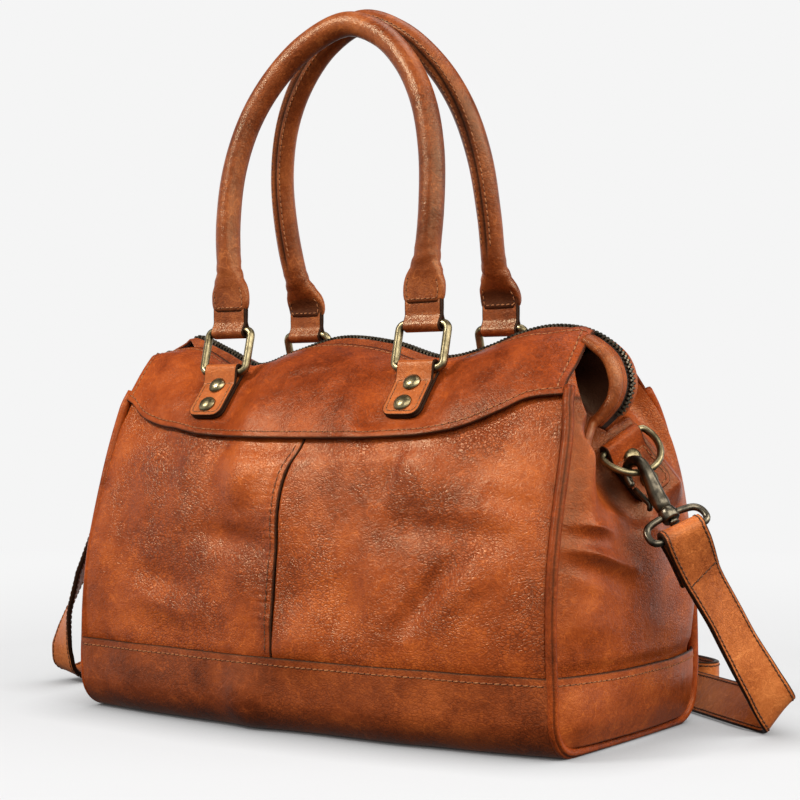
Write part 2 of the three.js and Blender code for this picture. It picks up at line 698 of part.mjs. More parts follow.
// Leather facings beside the zip, on the curled ends that stand clear of the yokes.
const FACING_FROM = 153.5;
const FACING_TAPER = 3;
const FACING_TIP = 0.55;
const HIDDEN_TIP_CUT = 2;
const shownFacing = { width: FACING_WIDTH, drop: FACING_DROP, tip_cut: 0 };
const hiddenFacing = { width: HIDDEN_WIDTH, drop: HIDDEN_DROP, tip_cut: HIDDEN_TIP_CUT };
const FACINGS = [
  { name: "right_front", end: 1, face: -1, ...shownFacing },
  { name: "right_back", end: 1, face: 1, ...hiddenFacing },
  { name: "left_front", end: -1, face: -1, ...hiddenFacing },
  { name: "left_back", end: -1, face: 1, ...hiddenFacing },
];
for (const { name, end, face, width, drop, tip_cut } of FACINGS) {
  const inner = ZIP_TAPE_WIDTH / 2 + GAP;
  const clear = zipFrames.filter(({ place }) => end * (place.x + TOP_SHIFT) > FACING_FROM);
  const fromTip = end > 0 ? clear.reverse() : clear;
  const outline = fromTip.slice(tip_cut).map(({ place, side, up }, i) => {
    const outer = inner + width * lerp(FACING_TIP, 1, smoothstep(i, 0, FACING_TAPER));
    const corners = [[inner, -LEATHER], [outer, -LEATHER - drop], [outer, -drop], [inner, 0]];
    return corners.map(([across, out]) =>
      place.clone().addScaledVector(side, face * across).addScaledVector(up, out));
  });
  add(`zip_facing_${name}`, loft(outline), "leather");
}

// Neck between a loop and its leaf, in shares of the loop's outer radius.
const NECK = { end: 1.12, bend: 0.8, height: 0.95 };
const LOOP_SEGMENTS = 4;
const CORNER_SEGMENTS = 2;

// Leather folded round a bar: loop and leaf seen from the side, with the leaf's end corners rounded.
// `low` is where the leaf's lower face lies, below the bar's middle.
function foldedTab(width, length, cornerRadius, low) {
  const profile = new THREE.Shape();
  profile.moveTo(length, low);
  profile.lineTo(length, low + TAB_THICKNESS);
  profile.lineTo(LOOP_OUTER * NECK.end, low + TAB_THICKNESS);
  profile.quadraticCurveTo(LOOP_OUTER * NECK.bend, LOOP_OUTER * NECK.height, 0, LOOP_OUTER);
  profile.absarc(0, 0, LOOP_OUTER, Math.PI * 0.5, Math.PI * 1.5, false);
  profile.quadraticCurveTo(LOOP_OUTER * NECK.bend, -LOOP_OUTER * NECK.height, LOOP_OUTER * NECK.end, low);
  profile.lineTo(length, low);
  profile.holes.push(new THREE.Path().absarc(0, 0, LOOP_HOLE, 0, Math.PI * 2, true));
  const flat = { depth: width, bevelEnabled: false };
  const side = new THREE.ExtrudeGeometry(profile, { ...flat, curveSegments: LOOP_SEGMENTS });
  side.translate(0, 0, -width / 2).rotateY(Math.PI / 2);
  const plan = new THREE.Shape();
  plan.moveTo(-width, width);
  plan.lineTo(-width / 2, -length + cornerRadius);
  plan.quadraticCurveTo(-width / 2, -length, -width / 2 + cornerRadius, -length);
  plan.lineTo(width / 2 - cornerRadius, -length);
  plan.quadraticCurveTo(width / 2, -length, width / 2, -length + cornerRadius);
  plan.lineTo(width, width);
  const cutter = new THREE.ExtrudeGeometry(plan, { ...flat, curveSegments: CORNER_SEGMENTS });
  cutter.translate(0, 0, -width / 2).rotateX(Math.PI / 2);
  return common(side, cutter);
}

function rivet() {
  const dome = [[0, 0], [1, 0], [1, 0.3], [0.75, 0.75], [0.36, 0.97], [0, 1]];
  const profile = dome.map(([r, h]) => new THREE.Vector2(r * RIVET_RADIUS, h * RIVET_HEIGHT));
  return new THREE.LatheGeometry(profile, RIVET_SIDES);
}

function rectangularRing() {
  const corner = RING_CORNER;
  const half = RING_INNER.width / 2 + RING_WIRE;
  const path = [];
  for (const [x, z, start] of [[1, 1, 0], [-1, 1, 1], [-1, 0, 2], [1, 0, 3]]) {
    for (const turn of [0, 1, 2]) {
      const angle = (start + turn / 2) * Math.PI * 0.5;
      const centre = vec(x * (half - corner), 0, z ? RING_PITCH - corner : corner);
      path.push(centre.add(vec(corner * Math.cos(angle), 0, corner * Math.sin(angle))));
    }
  }
  return rod(path, RING_WIRE, WIRE_SIDES, vec(0, 1, 0), true);
}

// Handle fittings, then the handle between its two rings.
const EAR_SHARE = 0.06;
const PINCH_FROM = 0.05;
const PINCH_TO = 0.35;
const aboveEar = (share) => Math.max((share - EAR_SHARE) / (1 - EAR_SHARE), 0);
function handlePath(handle, base) {
  const arch = HANDLE_ARCH.map(({ share, span }) => ({
    x: handle.half * (1 + span) - handle.pinch * smoothstep(share, PINCH_FROM, PINCH_TO),
    y: lerp(base.y, handle.top_y, aboveEar(share) ** handle.lean_power),
    z: lerp(base.z, handle.top_z, share),
  }));
  const left = arch.map(({ x, y, z }) => vec(handle.x - x, y, z));
  const right = arch.map(({ x, y, z }) => vec(handle.x + x, y, z)).reverse();
  return new THREE.CatmullRomCurve3([...left, vec(handle.x, handle.top_y, handle.top_z), ...right]);
}
const HANDLE_STEPS = 20;
const HANDLE_EVEN_FROM = 50;
const EAR_SHAPE = table("at wide thick", [
  [0, HANDLE_EAR, HANDLE_LEAF],
  [8, HANDLE_EAR - 0.5, HANDLE_LEAF + 0.3],
  [15, HANDLE_RADIUS + 3, HANDLE_LEAF + 2.5],
  [23, HANDLE_RADIUS + 0.6, HANDLE_RADIUS - 0.8],
  [32, HANDLE_RADIUS, HANDLE_RADIUS],
]);
const earWide = column(EAR_SHAPE, "at", "wide");
const earThick = column(EAR_SHAPE, "at", "thick");

function handleSolid(handle, base) {
  const curve = handlePath(handle, base);
  const length = curve.getLength();
  const ends = EAR_SHAPE.map(({ at }) => at);
  const middle = steps(HANDLE_STEPS, HANDLE_EVEN_FROM, length - HANDLE_EVEN_FROM);
  const places = [...ends, ...middle, ...ends.map((at) => length - at).reverse()];
  const path = places.map((at) => curve.getPointAt(clamp(at / length, 0, 1)));
  const framed = frames(path, vec(0, handle.side, 0));
  return loft(framed.map((frame, i) => {
    const fromEnd = Math.min(places[i], length - places[i]);
    return ellipse(frame, earThick(fromEnd), earWide(fromEnd), HANDLE_SIDES);
  }));
}

for (const [name, handle] of Object.entries(HANDLES)) {
  const up = unit(0, -handle.side * handle.ring_lean, 1);
  const loopLeaf = TAB_THICKNESS - LOOP_OUTER;
  let handleBase;
  for (const [i, end] of ["left", "right"].entries()) {
    const frame = tabFrames[name][i];
    const fitting = placed(frame);
    const tab = foldedTab(TAB_WIDTH, TAB_LENGTH, TAB_CORNER, -LOOP_OUTER);
    add(`tab_${name}_${end}`, tab, "leather", fitting);
    for (const [k, down] of TAB_RIVETS.entries()) {
      const dome = add(`tab_rivet_${name}_${end}_${k + 1}`, rivet(), "brass", fitting);
      dome.position.set(0, loopLeaf + GAP, -down);
    }
    const across = vec(1, 0, 0);
    const ring = placed({ place: frame.place, x: across, y: up.clone().cross(across), z: up });
    add(`ring_${name}_${end}`, rectangularRing(), "brass", ring);
    const bar = frame.place.clone().addScaledVector(up, RING_PITCH);
    const loop = placed(fittingFrame(bar, vec(-handle.side, 0, 0), vec(0, 0, 1)));
    const fold = foldedTab(TAB_WIDTH, HANDLE_LOOP_TAIL, HANDLE_LOOP_CORNER, -TAB_THICKNESS / 2);
    add(`handle_loop_${name}_${end}`, fold, "handle", loop);
    handleBase = bar.clone().setZ(bar.z + HANDLE_LOOP_TAIL + 2 * GAP);
  }
  add(`handle_${name}`, handleSolid(handle, handleBase), "handle");
}

// Side tab, D-ring and hook of the right end. The left end's are their mirror images.
const dHalf = D_INNER_WIDTH / 2 + D_WIRE;
const D_BOW = D_DEPTH - D_STRAIGHT;
const D_BOW_STEPS = 8;
function dRing() {
  const { along, out, drop } = D_CORNER;
  const path = [vec(dHalf - along, 0, 0), vec(-dHalf + along, 0, 0), vec(-dHalf + out, 0, -drop)];
  for (const angle of steps(D_BOW_STEPS, 0, Math.PI)) {
    path.push(vec(-dHalf * Math.cos(angle), 0, -D_STRAIGHT - D_BOW * Math.sin(angle)));
  }
  path.push(vec(dHalf - out, 0, -drop));
  return rod(path, D_WIRE, WIRE_SIDES, vec(0, 1, 0), true);
}
const dWay = sideFrame.z.clone()
  .multiplyScalar(Math.cos(D_LIFT))
  .addScaledVector(sideFrame.y, -Math.sin(D_LIFT));
const dFrame = { place: sideFrame.place, x: sideFrame.x, y: dWay.clone().cross(sideFrame.x), z: dWay };

// The hook hangs at the lowest stretch of the D-ring, which leans.
const lowSide = Math.sign(sideFrame.x.z) * -1;
const wirePoint = dFrame.place.clone()
  .addScaledVector(dFrame.x, lowSide * dHalf * Math.sin(HOOK_ON_RING))
  .addScaledVector(dFrame.z, -D_STRAIGHT - D_BOW * Math.cos(HOOK_ON_RING));
const wireWay = dFrame.x.clone().multiplyScalar(-lowSide * dHalf * Math.cos(HOOK_ON_RING))
  .addScaledVector(dFrame.z, -D_BOW * Math.sin(HOOK_ON_RING)).normalize();
const hookZ = HOOK_AXIS.clone().negate();
const hookY = wireWay.clone().addScaledVector(hookZ, -wireWay.dot(hookZ)).normalize();
const hookPlace = wirePoint.clone().addScaledVector(HOOK_AXIS, HOOK_REACH);
const turnedAxis = (spin) => hookY.clone().applyAxisAngle(hookZ, spin);
const hookFrameAt = (spin) => {
  const y = turnedAxis(spin);
  return { place: hookPlace, x: y.clone().cross(hookZ), y, z: hookZ };
};
const hookFrame = hookFrameAt(HOOK_SPIN);
const eyeFrame = hookFrameAt(0);

// Hook in its own frame: stem on the z axis, nose round the D-ring's wire, open on one side.
const HOOK_SPINE = table("x z radius", [
  [0, -7.2, 2.9],
  [0, -5.6, 2.9],
  [0, -5.2, STEM_RADIUS],
  [0, 2.6, STEM_RADIUS],
  [0, 3, 4.2],
  [0, 7, 4.3],
  [1, 14, HOOK_HALF + 0.5],
  [4.4, 21, HOOK_HALF],
  [6.7, 27, HOOK_HALF - 0.2],
  [6.5, 33, HOOK_HALF - 0.3],
  [2.5, 37.6, HOOK_HALF - 0.3],
  [-3, 37.2, HOOK_HALF - 0.5],
  [-6.6, 32.6, HOOK_HALF - 0.8],
  [-7.4, 28.4, HOOK_HALF - 1.1],
]);
function hookBody() {
  const path = HOOK_SPINE.map(({ x, z }) => vec(x, 0, z));
  return rod(path, (i) => HOOK_SPINE[i].radius, HOOK_SIDES, vec(0, 1, 0));
}
const GATE_PIVOT = vec(-5.4, 0, 12);
const GATE_TIP = vec(-7.2, 0, 25.6);
const GATE_HEEL = { offset: vec(-3.4, 0, -2.5), radius: 1.4 };
const GATE_ROWS = table("share radius", [
  [0, 1.7],
  [0.3, 1.6],
  [0.75, 1.5],
  [1, 1.5],
]);
function hookGate() {
  const path = GATE_ROWS.map(({ share }) => GATE_PIVOT.clone().lerp(GATE_TIP, share));
  path.unshift(GATE_PIVOT.clone().add(GATE_HEEL.offset));
  const radii = [GATE_HEEL.radius, ...GATE_ROWS.map(({ radius }) => radius)];
  return rod(path, (i) => radii[i], WIRE_SIDES, vec(0, 1, 0));
}
function swivelEye(bore) {
  const [low, high] = [COLLAR_LOW, COLLAR_HIGH];
  const rim = [[bore, low], [5, low], [5.4, -1], [4.6, high], [bore, high], [bore, low]];
  const profile = rim.map(([r, h]) => new THREE.Vector2(r, h));
  const collar = new THREE.LatheGeometry(profile, COLLAR_SIDES).rotateX(Math.PI / 2);
  const half = EYE_WIDTH / 2 + EYE_WIRE;
  const side = [
    [4.2, -1.2],
    [9, -1.6],
    [half - 2.5, -3.2],
    [half, -6.4],
    [half, -EYE_BAR + 2],
    [half - 2, -EYE_BAR],
  ];
  const path = [...side.map(([y, z]) => vec(0, y, z)), ...side.map(([y, z]) => vec(0, -y, z)).reverse()];
  return fused(collar, rod(path, EYE_WIRE, WIRE_SIDES, vec(1, 0, 0)));
}

const sideTab = foldedTab(SIDE_TAB_WIDTH, SIDE_TAB_LENGTH, TAB_CORNER, -LOOP_OUTER);
const sidePieces = {
  side_tab: [inFrame(sideTab, sideFrame), "leather"],
  d_ring: [inFrame(dRing(), dFrame), "brass"],
};
for (const [k, down] of SIDE_TAB_RIVETS.entries()) {
  const dome = rivet().translate(0, TAB_THICKNESS - LOOP_OUTER + GAP, -down);
  sidePieces[`side_rivet_${k + 1}`] = [inFrame(dome, sideFrame), "brass"];
}
for (const [name, [geometry, finish]] of Object.entries(sidePieces)) {
  add(`${name}_right`, geometry, finish);
  add(`${name}_left`, mirrored(mergeVertices(geometry, MERGE_DISTANCE)), finish);
}
add("hook_right", inFrame(hookBody(), hookFrame), "bronze");
add("hook_gate_right", inFrame(hookGate(), hookFrame), "bronze");
add("hook_eye_right", inFrame(swivelEye(STEM_RADIUS + WIRE_CLEAR), eyeFrame), "bronze");
const plainHook = fused(inFrame(hookBody(), hookFrame), inFrame(swivelEye(STEM_RADIUS / 2), eyeFrame));
add("hook_left", mirrored(plainHook), "bronze");

// Strap: each end is folded round the bar of its swivel eye and lies double for a short way.
const FOLD_LENGTH = 20;
const FOLD_STEPS = 4;
const TAIL_SHARE = 0.6;
const FOLD_RADIUS = EYE_WIRE + GAP + STRAP_THICKNESS / 2;
function strapEnd(side, next) {
  const flip = (v) => vec(v.x * side, v.y, v.z);
  const bar = flip(eyeFrame.place.clone().addScaledVector(HOOK_AXIS, EYE_BAR));
  const wide = flip(eyeFrame.y);
  const away = next.clone().sub(bar);
  away.addScaledVector(wide, -away.dot(wide)).normalize();
  const out = wide.clone().cross(away).multiplyScalar(-side);
  const at = (along, across) => bar.clone().addScaledVector(away, along).addScaledVector(out, across);
  const under = STRAP_THICKNESS / 2 + GAP;
  const turn = steps(FOLD_STEPS, Math.PI / 2, -Math.PI / 2).map((angle) =>
    at(-FOLD_RADIUS * Math.cos(angle), -FOLD_RADIUS * Math.sin(angle)));
  const tail = [at(FOLD_LENGTH, -under), at(TAIL_SHARE * FOLD_LENGTH, -under - GAP)];
  return { path: [...tail, ...turn, at(FOLD_LENGTH / 2, FOLD_RADIUS)], wide };
}
function strap() {
  const route = STRAP_ROUTE.map((row) => ({
    place: vec(row.x, row.y, row.z),
    wide: unit(row.wide_x, row.wide_y, row.wide_z),
  }));
  const right = strapEnd(1, route[0].place);
  const left = strapEnd(-1, route.at(-1).place);
  const ends = (end) => end.path.map((place) => ({ place, wide: end.wide }));
  const all = [...ends(right), ...route, ...ends(left).reverse()];
  const framed = frames(all.map(({ place }) => place), all.map(({ wide }) => wide));
  return band(framed, -STRAP_WIDTH / 2, STRAP_WIDTH / 2, -STRAP_THICKNESS / 2, STRAP_THICKNESS / 2);
}
add("strap", strap(), "strap");

export default bag;
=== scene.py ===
import math

import bpy
import numpy as np
from mathutils import Matrix


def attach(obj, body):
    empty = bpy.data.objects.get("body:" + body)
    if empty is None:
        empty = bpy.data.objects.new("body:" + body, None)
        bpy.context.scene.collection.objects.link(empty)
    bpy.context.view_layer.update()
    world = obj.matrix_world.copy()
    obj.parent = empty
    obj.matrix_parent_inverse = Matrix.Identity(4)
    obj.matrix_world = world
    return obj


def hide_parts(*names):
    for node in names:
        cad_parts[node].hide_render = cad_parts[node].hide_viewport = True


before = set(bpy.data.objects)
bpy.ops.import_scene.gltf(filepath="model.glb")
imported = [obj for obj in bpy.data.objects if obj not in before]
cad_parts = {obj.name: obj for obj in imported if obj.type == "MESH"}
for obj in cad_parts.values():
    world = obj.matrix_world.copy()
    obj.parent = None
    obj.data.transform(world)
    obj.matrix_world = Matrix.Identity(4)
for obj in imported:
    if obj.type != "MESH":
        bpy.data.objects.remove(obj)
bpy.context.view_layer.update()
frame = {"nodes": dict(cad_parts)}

MM = 0.001
scene = bpy.context.scene

# Camera at the photograph's place
CAMERA_PLACE = (0.6283, -0.89704, 0.1759)
CAMERA_TURN = math.radians(34.46)
CAMERA_PITCH = math.radians(-0.78)
CAMERA_LENS = 80.63


def aim(item, place, right, back):
    """Puts a camera or lamp at a place, looking against the direction back."""
    matrix = Matrix.Identity(4)
    for i, direction in enumerate((right, np.cross(back, right), back)):
        matrix.col[i].xyz = direction
    matrix.translation = place
    item.matrix_world = matrix


def add_camera():
    data = bpy.data.cameras.new("camera")
    data.lens = CAMERA_LENS
    camera = bpy.data.objects.new("camera", data)
    scene.collection.objects.link(camera)
    flat = math.cos(CAMERA_PITCH)
    back = np.array([math.sin(CAMERA_TURN) * flat, -math.cos(CAMERA_TURN) * flat, math.sin(CAMERA_PITCH)])
    right = np.array([math.cos(CAMERA_TURN), math.sin(CAMERA_TURN), 0])
    aim(camera, CAMERA_PLACE, right, back)
    scene.camera = camera


add_camera()

# Leather and seams
LEATHER = 1.8
GAP = 0.3
WIRE_CLEAR = 0.4
LAP = 8
BAND_HEIGHT = 44
BASE_CORNER = 22
PANEL_INSET = 0.008
MIDDLE_SEAM_X = -8
SEAM_LIP = 1.0
PIPING_RADIUS = 2.4
PIPING_TOP = 196
PIPING_OUT = 0.6
EDGE_CLEAR = 0.7
GUSSET_CLEAR = 2.2
GUSSET_BAND_CLEAR = 2.8
PANEL_TUCK = 1.8
EDGE_POWER = 2.6

# Top of the bag
YOKE_TOP = 225
TOP_SHIFT = 4
TOP_SHIFT_FROM = 190
WAVE_FROM = 186
SEAM_LEVEL = 180
TOP_ROLL = 3.6
END_ROLL = 3.0
EDGE_BULGE = 3.6
BULGE_FROM = 0.75
BULGE_MIDDLE = 95
BULGE_REACH = 58
BULGE_OUT = 0.5
RIGHT_END_FLARE = 6.5
RIGHT_END_CURL = 5.0
RIGHT_END_LIFT = 1.6
RIGHT_CORNER_CUT = 2.2
ZIP_Y = -12
ZIP_LIFT = 1.2
ZIP_TAPE_WIDTH = 16.8
ZIP_TAPE_THICKNESS = 1.2
FACING_WIDTH = 8.5
FACING_DROP = 3
HIDDEN_WIDTH = 6
HIDDEN_DROP = 8
FACING_FROM = 158
LEFT_CURL_IN = 5

# Handles and fittings
HANDLE_RADIUS = 7.5
HANDLE_LOOP_TAIL = 7
EAR_SHARE = 0.06
TAB_WIDTH = 25
TAB_LENGTH = 33.5
TAB_THICKNESS = 4
TAB_CORNER = 6
RING_WIRE = 2.5
RING_WIDTH = 28
RING_HEIGHT = 21
RING_CORNER = 3.8
RIVET_RADIUS = 4.75
RIVET_HEIGHT = 3
TAB_RIVETS = (10.4, 25.4)
SIDE_TAB_LENGTH = 34
SIDE_TAB_WIDTH = 26
D_WIRE = 2
D_INNER_WIDTH = 30
D_DEPTH = 24
D_STRAIGHT = 5
D_LIFT = 0.45
HOOK_SPIN = 0.5
HOOK_ON_RING = 0.63
HOOK_REACH = 31
HOOK_HALF = 3.2
STEM_RADIUS = 1.8
EYE_WIRE = 2
EYE_WIDTH = 31
EYE_BAR = 13.6
STRAP_WIDTH = 26
STRAP_THICKNESS = 3
FOLD_LENGTH = 20


def table(names, rows):
    """Rows of numbers under named columns."""
    return [dict(zip(names.split(), row)) for row in rows]


# Front and back of the body: distance of the middle and of the piped edges from the bag's centre plane,
# and half the width, at each height
FRONT = table("z middle edge half_width", [
    [11, 99, 86.8, 165],
    [26, 100.5, 87.3, 166.5],
    [44, 101, 87.5, 166],
    [70, 100.5, 87.2, 165.2],
    [100, 98, 83.8, 164.4],
    [130, 92, 76.5, 163.6],
    [155, 85.5, 69, 163.2],
    [175, 77, 62.5, 162],
    [190, 67.5, 58, 159.5],
    [203, 56, 48, 157.5],
    [213, 45, 38, 156],
    [220, 34, 30, 154.5],
    [225, 22, 23, 154],
])
BACK = table("z middle edge half_width", [
    [11, 95, 83.5, 165],
    [26, 97.5, 85.5, 166.5],
    [44, 99, 87, 166],
    [70, 99, 87.2, 165.2],
    [100, 96, 83.8, 164.4],
    [130, 89, 74, 163.6],
    [155, 80, 63, 163.2],
    [175, 69, 54, 162],
    [190, 58, 47, 159.5],
    [203, 45, 36, 157.5],
    [213, 32, 25, 156],
    [220, 17, 14, 154.5],
    [225, -2, -1, 154],
])
# Height of the yokes' lower seam across the width, lowest in the middle
YOKE_SEAM = table("x z", [
    [-166, 192.5],
    [-153, 188.5],
    [-140, 181],
    [-125, 176.5],
    [-105, 173],
    [-85, 170.5],
    [-60, 169],
    [0, 168],
    [60, 169],
    [85, 171],
    [105, 175.6],
    [125, 183.7],
    [140, 190],
    [166, 192.5],
])
# Waves of the top edge
TOP_WAVES = table("x lift reach", [
    [127, 7, 30],
    [-137, 7, 30],
    [-20, 4, 34],
    [-86, -12, 26],
    [56, -10, 28],
])
# Soft dents and swellings of the front: place, reach and depth
FRONT_DENTS = table("x z reach_x reach_z depth", [
    [-100, 95, 45, 38, 3.5],
    [75, 105, 55, 30, 4],
    [-30, 130, 22, 50, -2.5],
    [110, 60, 40, 26, -2],
])
# Gusset at each height: how far its folds stand out from the line of the pipings
GUSSET = table("z fold valley ridge back_valley back_fold", [
    [6, 4, 6, 7, 6, 4],
    [20, 8, 12, 13, 12, 8],
    [44, 7, 14, 16, 14, 8],
    [75, 10, 18, 21, 18, 11],
    [105, 12, 18, 22, 17, 12],
    [125, 13, 13, 20, 14, 13],
    [143, 14, 2, 15, 8, 13],
    [158, 14, -14, 5, -4, 12],
    [172, 11, -28, -6, -16, 10],
    [186, 6, -38, -18, -26, 6],
    [200, 0, -44, -32, -34, 1],
    [214, -4, -46, -40, -40, -4],
    [222, -6, -42, -38, -36, -6],
])
GUSSET_PLACES = (-1, -0.8, -0.42, 0, 0.42, 0.8, 1)
GUSSET_TOP = 220
GUSSET_DIP = 10
GUSSET_DIP_FROM = 196
GUSSET_DIP_FLAT = 0.5
GUSSET_DIP_END = 0.95
GUSSET_EDGE_POWER = 8
# Zip line: its height along the top, and the curl of its ends down over the gussets
ZIP_RIDGE = table("x z", [
    [-137, 230.5],
    [-112, 221.5],
    [-86, 211.5],
    [-56, 219],
    [-20, 227],
    [18, 223],
    [54, 213.5],
    [84, 218.5],
    [106, 226],
    [127, 229.5],
])
ZIP_END = table("x y z", [
    [146, 0, 227.5],
    [161, 0, 220.5],
    [171, 0, 211],
    [175, 0, 198],
    [173, -2, 187],
    [167, -5, 178],
    [161, -7, 172],
])
# Half of a handle: how its half span changes, as a share of it, at each share of its height
HANDLE_ARCH = table("share span", [
    [0, 0],
    [0.06, 0],
    [0.16, 0.02],
    [0.33, 0.05],
    [0.52, 0.02],
    [0.69, -0.1],
    [0.83, -0.31],
    [0.945, -0.62],
])
HANDLES = {
    "front": dict(side=-1, x=-9.3, half=71.5, loop_y=-54, loop_z=208, ring_lean=0.25,
                  top_y=-26, top_z=417.5, lean_power=2, pinch=0),
    "back": dict(side=1, x=-10, half=74, loop_y=41, loop_z=209, ring_lean=0.3,
                 top_y=-7, top_z=422.5, lean_power=0.65, pinch=1),
}
EAR_SHAPE = table("at wide thick", [
    [0, 12.6, 2.5],
    [5, 13.8, 2.7],
    [12, 13.4, 3.2],
    [19, 10.6, 4.8],
    [26, 8.4, 6.6],
    [35, HANDLE_RADIUS, HANDLE_RADIUS],
])
EAR_LIFT = 4.4
EAR_SEWN = 14
# Hook in its own frame: stem on the z axis, nose round the D-ring's wire, open on one side
HOOK_SPINE = table("x z radius", [
    [0, -7.2, 2.9],
    [0, -5.6, 2.9],
    [0, -5.2, STEM_RADIUS],
    [0, 2.6, STEM_RADIUS],
    [0, 3, 4.2],
    [0.8, 7, 4.8],
    [1.6, 12, 4.7],
    [3, 16, 4.4],
    [4.6, 21, 4],
    [6.2, 27, 3.5],
    [6.5, 33, HOOK_HALF - 0.3],
    [2.5, 37.6, HOOK_HALF - 0.3],
    [-3, 37.2, HOOK_HALF - 0.5],
    [-6.6, 32.6, HOOK_HALF - 0.8],
    [-7.4, 28.4, HOOK_HALF - 1.1],
])
GATE_PIVOT = np.array([-5.4, 0, 12])
GATE_TIP = np.array([-7.2, 0, 25.6])
# Route of the strap from the right hook over the floor behind the bag to the left hook, with the
# direction of its width
STRAP_ROUTE = table("x y z wide_x wide_y wide_z", [
    [212, 0, 92, 0.3, 0.9, 0.32],
    [217, 14, 73, 0.27, 0.88, 0.4],
    [222, 29, 52, 0.3, 0.76, 0.58],
    [228, 45, 30, 0.42, 0.48, 0.77],
    [231.5, 57, 14.5, 0.55, 0.2, 0.8],
    [226, 66, 11.6, 0.5, 0.3, 0.8],
    [211, 74, 11.8, 0.44, 0.38, 0.82],
    [184, 94, 11.7, 0.4, 0.42, 0.82],
    [152, 118, 11.6, 0.4, 0.45, 0.8],
    [112, 141, 12.4, 0.25, 0.4, 0.88],
    [72, 152, 13.2, 0, 0.1, 1],
    [44, 156, 13.3, 0, 0, 1],
    [33, 164, 13.3, 0, 0, 1],
    [43, 173, 13.3, 0, 0, 1],
    [74, 172, 13.3, 0, 0, 1],
    [112, 160, 13.3, 0, 0, 1],
    [138, 145, 13.3, 0, 0, 1],
    [150, 145, 13.3, 0, 0, 1],
    [149, 157, 13.3, 0, 0, 1],
    [116, 180, 13.3, 0, 0, 1],
    [60, 194, 13.3, 0, 0, 1],
    [-30, 190, 13.3, 0, 0, 1],
    [-110, 166, 13.3, 0, 0, 1],
    [-176, 120, 13.3, 0, 0, 1],
    [-214, 76, 13.3, -0.1, 0, 1],
    [-236, 46, 12.4, -0.5, 0.1, 0.84],
    [-248, 20, 8.4, -0.82, 0.2, 0.5],
    [-252, -2, 5.2, -0.95, 0.2, 0.2],
    [-252, -16, 10.5, -0.96, 0.24, 0.1],
    [-249.5, -22, 22, -0.94, 0.3, 0],
    [-246, -24, 34, -0.86, 0.44, -0.06],
    [-239, -24, 52, -0.68, 0.7, 0],
    [-227, -22.5, 78, -0.42, 0.86, 0.2],
])


def vec(x, y, z):
    return np.array([x, y, z], float)


def unit(v):
    v = np.asarray(v, float)
    return v / np.linalg.norm(v, axis=-1, keepdims=True)


def stack(x, y, z):
    return np.stack(np.broadcast_arrays(x, y, z), -1).astype(float)


def bell(distance, reach):
    return np.exp(-((distance / reach) ** 2))


def mix(a, b, k):
    return a + (b - a) * k


def smoothstep(x, low, high):
    k = np.clip((x - low) / (high - low), 0, 1)
    return k * k * (3 - 2 * k)


def values_of(rows, name):
    return np.array([row[name] for row in rows], float)


def hermite(xs, ys, t):
    """Smooth curve through the places xs with the values ys, which may differ from point to point."""
    n = len(xs)
    before = np.maximum(np.arange(n) - 1, 0)
    after = np.minimum(np.arange(n) + 1, n - 1)
    slopes = (ys[after] - ys[before]) / (xs[after] - xs[before]).reshape((n,) + (1,) * (ys.ndim - 1))
    i = np.clip(np.searchsorted(xs, t, side="left") - 1, 0, n - 2)
    span = xs[i + 1] - xs[i]
    k = np.clip((t - xs[i]) / span, 0, 1)
    rest = 1 - k

    def pick(values, index):
        return values[index] if values.ndim == 1 else np.take_along_axis(values, index[None], 0)[0]

    flat = pick(ys, i) * (1 + 2 * k) * rest**2 + pick(ys, i + 1) * (3 - 2 * k) * k**2
    return flat + span * k * rest * (pick(slopes, i) * rest - pick(slopes, i + 1) * k)


def column(rows, by, name):
    xs = values_of(rows, by)
    ys = values_of(rows, name)
    return lambda t: hermite(xs, ys, np.asarray(t, float))


SPLINE_PARTS = 24
LEAST_KNOT = 1e-6


def spline(points, step, cyclic=False):
    """Evenly spaced points along a centripetal curve through the given points."""
    points = np.asarray(points, float)
    if cyclic:
        ring = np.vstack([points[-1], points, points[:2]])
    else:
        ring = np.vstack([2 * points[0] - points[1], points, 2 * points[-1] - points[-2]])
    fine = []
    for a, b, c, d in zip(ring, ring[1:], ring[2:], ring[3:]):
        knots = [0.0]
        for p, q in ((a, b), (b, c), (c, d)):
            knots.append(knots[-1] + max(np.linalg.norm(q - p), LEAST_KNOT) ** 0.5)
        t0, t1, t2, t3 = knots
        t = np.linspace(t1, t2, SPLINE_PARTS, endpoint=False)[:, None]
        ab = (t1 - t) / (t1 - t0) * a + (t - t0) / (t1 - t0) * b
        bc = (t2 - t) / (t2 - t1) * b + (t - t1) / (t2 - t1) * c
        cd = (t3 - t) / (t3 - t2) * c + (t - t2) / (t3 - t2) * d
        abc = (t2 - t) / (t2 - t0) * ab + (t - t0) / (t2 - t0) * bc
        bcd = (t3 - t) / (t3 - t1) * bc + (t - t1) / (t3 - t1) * cd
        fine.append((t2 - t) / (t2 - t1) * abc + (t - t1) / (t2 - t1) * bcd)
    fine.append(points[:1] if cyclic else points[-1:])
    even = resampled(np.vstack(fine), step)
    return even[:-1] if cyclic else even


def lengths_along(path):
    return np.concatenate([[0], np.cumsum(np.linalg.norm(np.diff(path, axis=0), axis=1))])


def interpolated(values, along, at):
    """Rows of values, known at the lengths along, at other lengths."""
    return np.stack([np.interp(at, along, values[:, i]) for i in range(values.shape[1])], 1)


def resampled(path, step):
    along = lengths_along(path)
    count = max(int(round(along[-1] / step)), 2)
    return interpolated(path, along, np.linspace(0, along[-1], count + 1))


